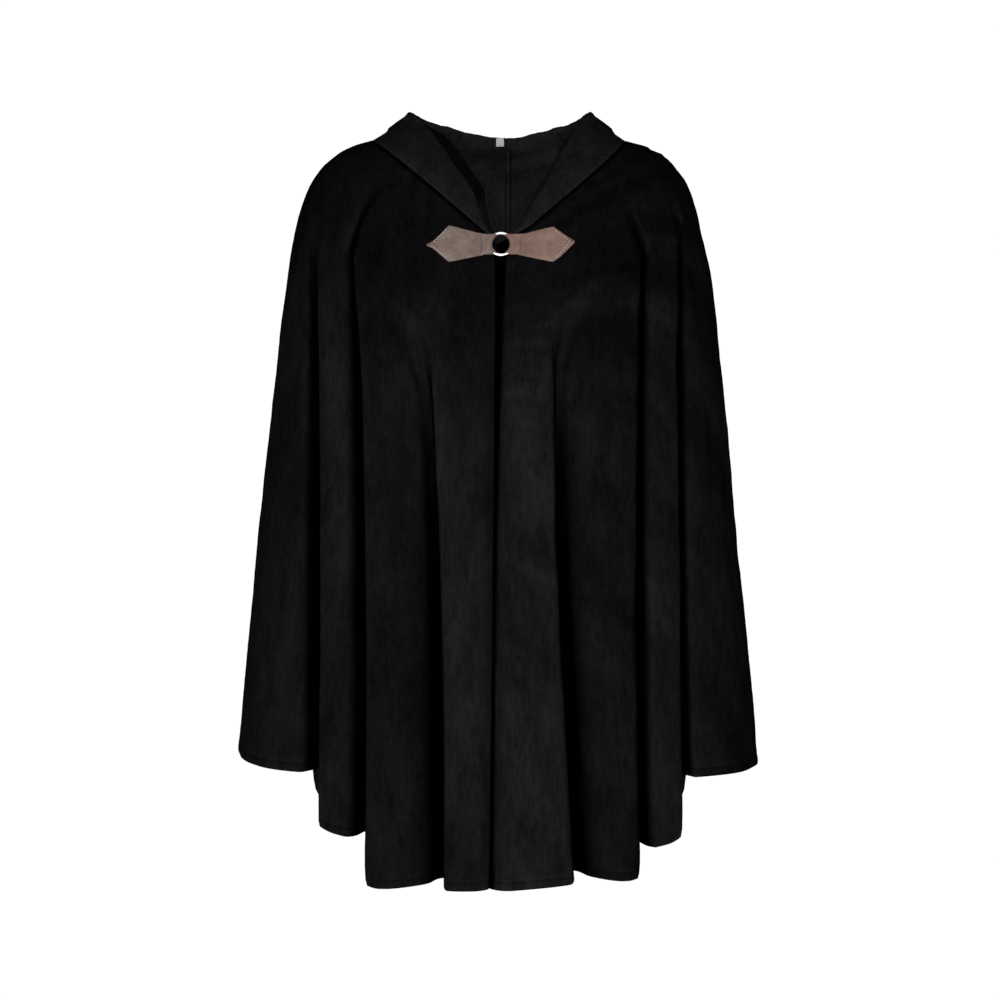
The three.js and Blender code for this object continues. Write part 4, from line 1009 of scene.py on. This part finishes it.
def make_clasp(finishes, behind):
    """The ring, its loops, the tabs and their stitches."""
    points, faces = tube(ring_path(), RING_WIRE, 20, True)
    finish(mesh_object("ring_of_clasp", on_clasp(points), faces), finishes["steel"], "steel", "clasp_ring")
    for word, side, table in (("left", -1, TAB_LEFT), ("right", 1, TAB_RIGHT)):
        grid = on_clasp(loop_grid(side))
        points, faces, _ = wall(grid, grid_normals(grid), 1.5)
        finish(mesh_object(f"loop_{word}", points, faces), finishes[word], "leather", f"clasp_loop_{word}")
        grid = tab_grid(table, side, behind)
        points, faces, _ = wall(grid, grid_normals(grid), LEATHER, rim=5)
        finish(mesh_object(f"tab_{word}", points, faces), finishes[word], "leather", f"clasp_tab_{word}")
        tree = BVHTree.FromPolygons(points.tolist(), faces.tolist())

        def front(x, z):
            hit = tree.ray_cast((x, -400, z), (0, 1, 0))[0]
            return hit.y if hit is not None else behind(x, z)

        def corner(out, up):
            return np.array([CLASP["x"] + side * out, CLASP["z"] + up])

        tip = table[-1]
        middle = (tip[1] + tip[2]) / 2
        wide = table[4]
        stops = [corner(wide[0] + 1.6, wide[1] + 2.6), corner(tip[0] - 3.2, middle), corner(wide[0] + 1.6, wide[2] - 2.6)]
        rows = [row_of_stitches(stops[0], stops[1], 3.4, front), row_of_stitches(stops[1], stops[2], 3.4, front)]
        places, directions = (np.concatenate(part) for part in zip(*rows))
        points, faces = thread(places, directions, 2.4, 0.38)
        finish(mesh_object(f"tip_stitches_{word}", points, faces), finishes["pale"], "leather")
        places, directions = row_of_stitches(corner(20, table[0, 1] + 1.2), corner(20, table[0, 2] - 1.2), 2.6, front)
        points, faces = thread(places, directions, 2.0, 0.36)
        finish(mesh_object(f"loop_stitches_{word}", points, faces), finishes["dark"], "leather")


def make_label(finishes):
    """The small bare label: a thin wall with round edges, slightly bowed, and a stitch at each upper corner."""
    across = np.linspace(-0.5, 0.5, 14)[:, None]
    down = np.linspace(0.5, -0.5, 14)[None, :]
    x = LABEL["x"] + (LABEL["width"] - 0.5) * across + 0 * down
    z = LABEL["z"] + (LABEL["height"] - 0.5) * down + 0 * across
    y = LABEL["y"] + 0.25 * (4 * across ** 2 - 1) + 0 * down
    grid = np.stack([x, y, z], -1)[::-1]
    points, faces, _ = wall(grid, grid_normals(grid), 0.5)
    finish(mesh_object("neck_label_cloth", points, faces), finishes["label"], "label", "neck_label")
    corners = np.array([[LABEL["x"] + s * 3.6, LABEL["y"] - 0.4, LABEL["z"] + 4.0] for s in (-1, 1)])
    points, faces = thread(corners, np.array([[1.0, 0, 0]] * 2), 1.6, 0.22)
    finish(mesh_object("label_stitches", points, faces), finishes["dark"], "label")


def two_lights(tree, shown, lit, out):
    """The output shows one shader to the camera and to reflections, and lights the cloth with the other."""
    path, both = node(tree, "ShaderNodeLightPath"), node(tree, "ShaderNodeMixShader")
    either = node(tree, "ShaderNodeMath", operation="MAXIMUM")
    tree.links.new(path.outputs["Is Camera Ray"], either.inputs[0])
    tree.links.new(path.outputs["Is Glossy Ray"], either.inputs[1])
    tree.links.new(either.outputs[0], both.inputs[0])
    tree.links.new(lit.outputs[0], both.inputs[1])
    tree.links.new(shown.outputs[0], both.inputs[2])
    tree.links.new(both.outputs[0], out.inputs["Surface"])


def make_stage():
    """A white floor that turns up into a wall behind, on one curved sheet, and low soft lights in front."""
    material, tree, principled = new_material("white_paper")
    principled.inputs["Base Color"].default_value = (0.5, 0.5, 0.5, 1)
    principled.inputs["Roughness"].default_value = 0.9
    shown = node(tree, "ShaderNodeEmission", {"Strength": 1.02})
    two_lights(tree, shown, principled, tree.nodes["Material Output"])
    turn = np.linspace(0, math.pi / 2, 16)
    y = np.concatenate([[-9000], 2400 + 1500 * np.sin(turn), [3900]])
    z = np.concatenate([[-1460], 1500 * (1 - np.cos(turn)) - 1460, [7000]])
    x = np.array([-12000.0, 12000.0])
    grid = np.stack(np.broadcast_arrays(x[:, None], y[None], z[None]), -1)
    number = np.arange(2 * len(y)).reshape(2, -1)
    faces = np.stack([number[0, :-1], number[1, :-1], number[1, 1:], number[0, 1:]], -1)
    floor = mesh_object("floor_and_backdrop", grid.reshape(-1, 3), faces)
    floor.data.materials.append(material)
    world = bpy.data.worlds.new("light_room")
    world.use_nodes = True
    tree = world.node_tree
    dim, shown = tree.nodes["Background"], node(tree, "ShaderNodeBackground", {"Strength": 1.02})
    dim.inputs["Color"].default_value = (1, 1, 1, 1)
    dim.inputs["Strength"].default_value = ROOM_LIGHT
    shown.inputs["Color"].default_value = (1, 1, 1, 1)
    two_lights(tree, shown, dim, tree.nodes["World Output"])
    bpy.context.scene.world = world
    for name, place, size, power in LAMPS:
        light = bpy.data.lights.new(name, "AREA")
        light.size = size
        light.energy = power
        lamp = bpy.data.objects.new(name, light)
        lamp.location = place
        direction = np.array([0, 0, -0.36]) - np.array(place)
        lamp.rotation_euler = (math.acos(-direction[2] / np.linalg.norm(direction)), 0,
                               math.atan2(direction[1], direction[0]) - math.pi / 2)
        bpy.context.scene.collection.objects.link(lamp)


def make_camera():
    """The camera at the photograph's angle: level, in front, 2.7 m off, with a field 1.05 m wide there."""
    data = bpy.data.cameras.new("camera")
    data.sensor_width = 36
    data.lens = 36 * 2.7 / 1.05
    camera = bpy.data.objects.new("camera", data)
    camera.location = (0.001575, -2.7, -0.367)
    camera.rotation_euler = (math.pi / 2, 0, 0)
    bpy.context.scene.collection.objects.link(camera)
    bpy.context.scene.camera = camera


finishes = make_materials()
cloth, behind = make_cape(finishes)
make_clasp(finishes, behind)
make_label(finishes)
make_stage()
make_camera()
bpy.context.scene.view_settings.view_transform = "Standard"
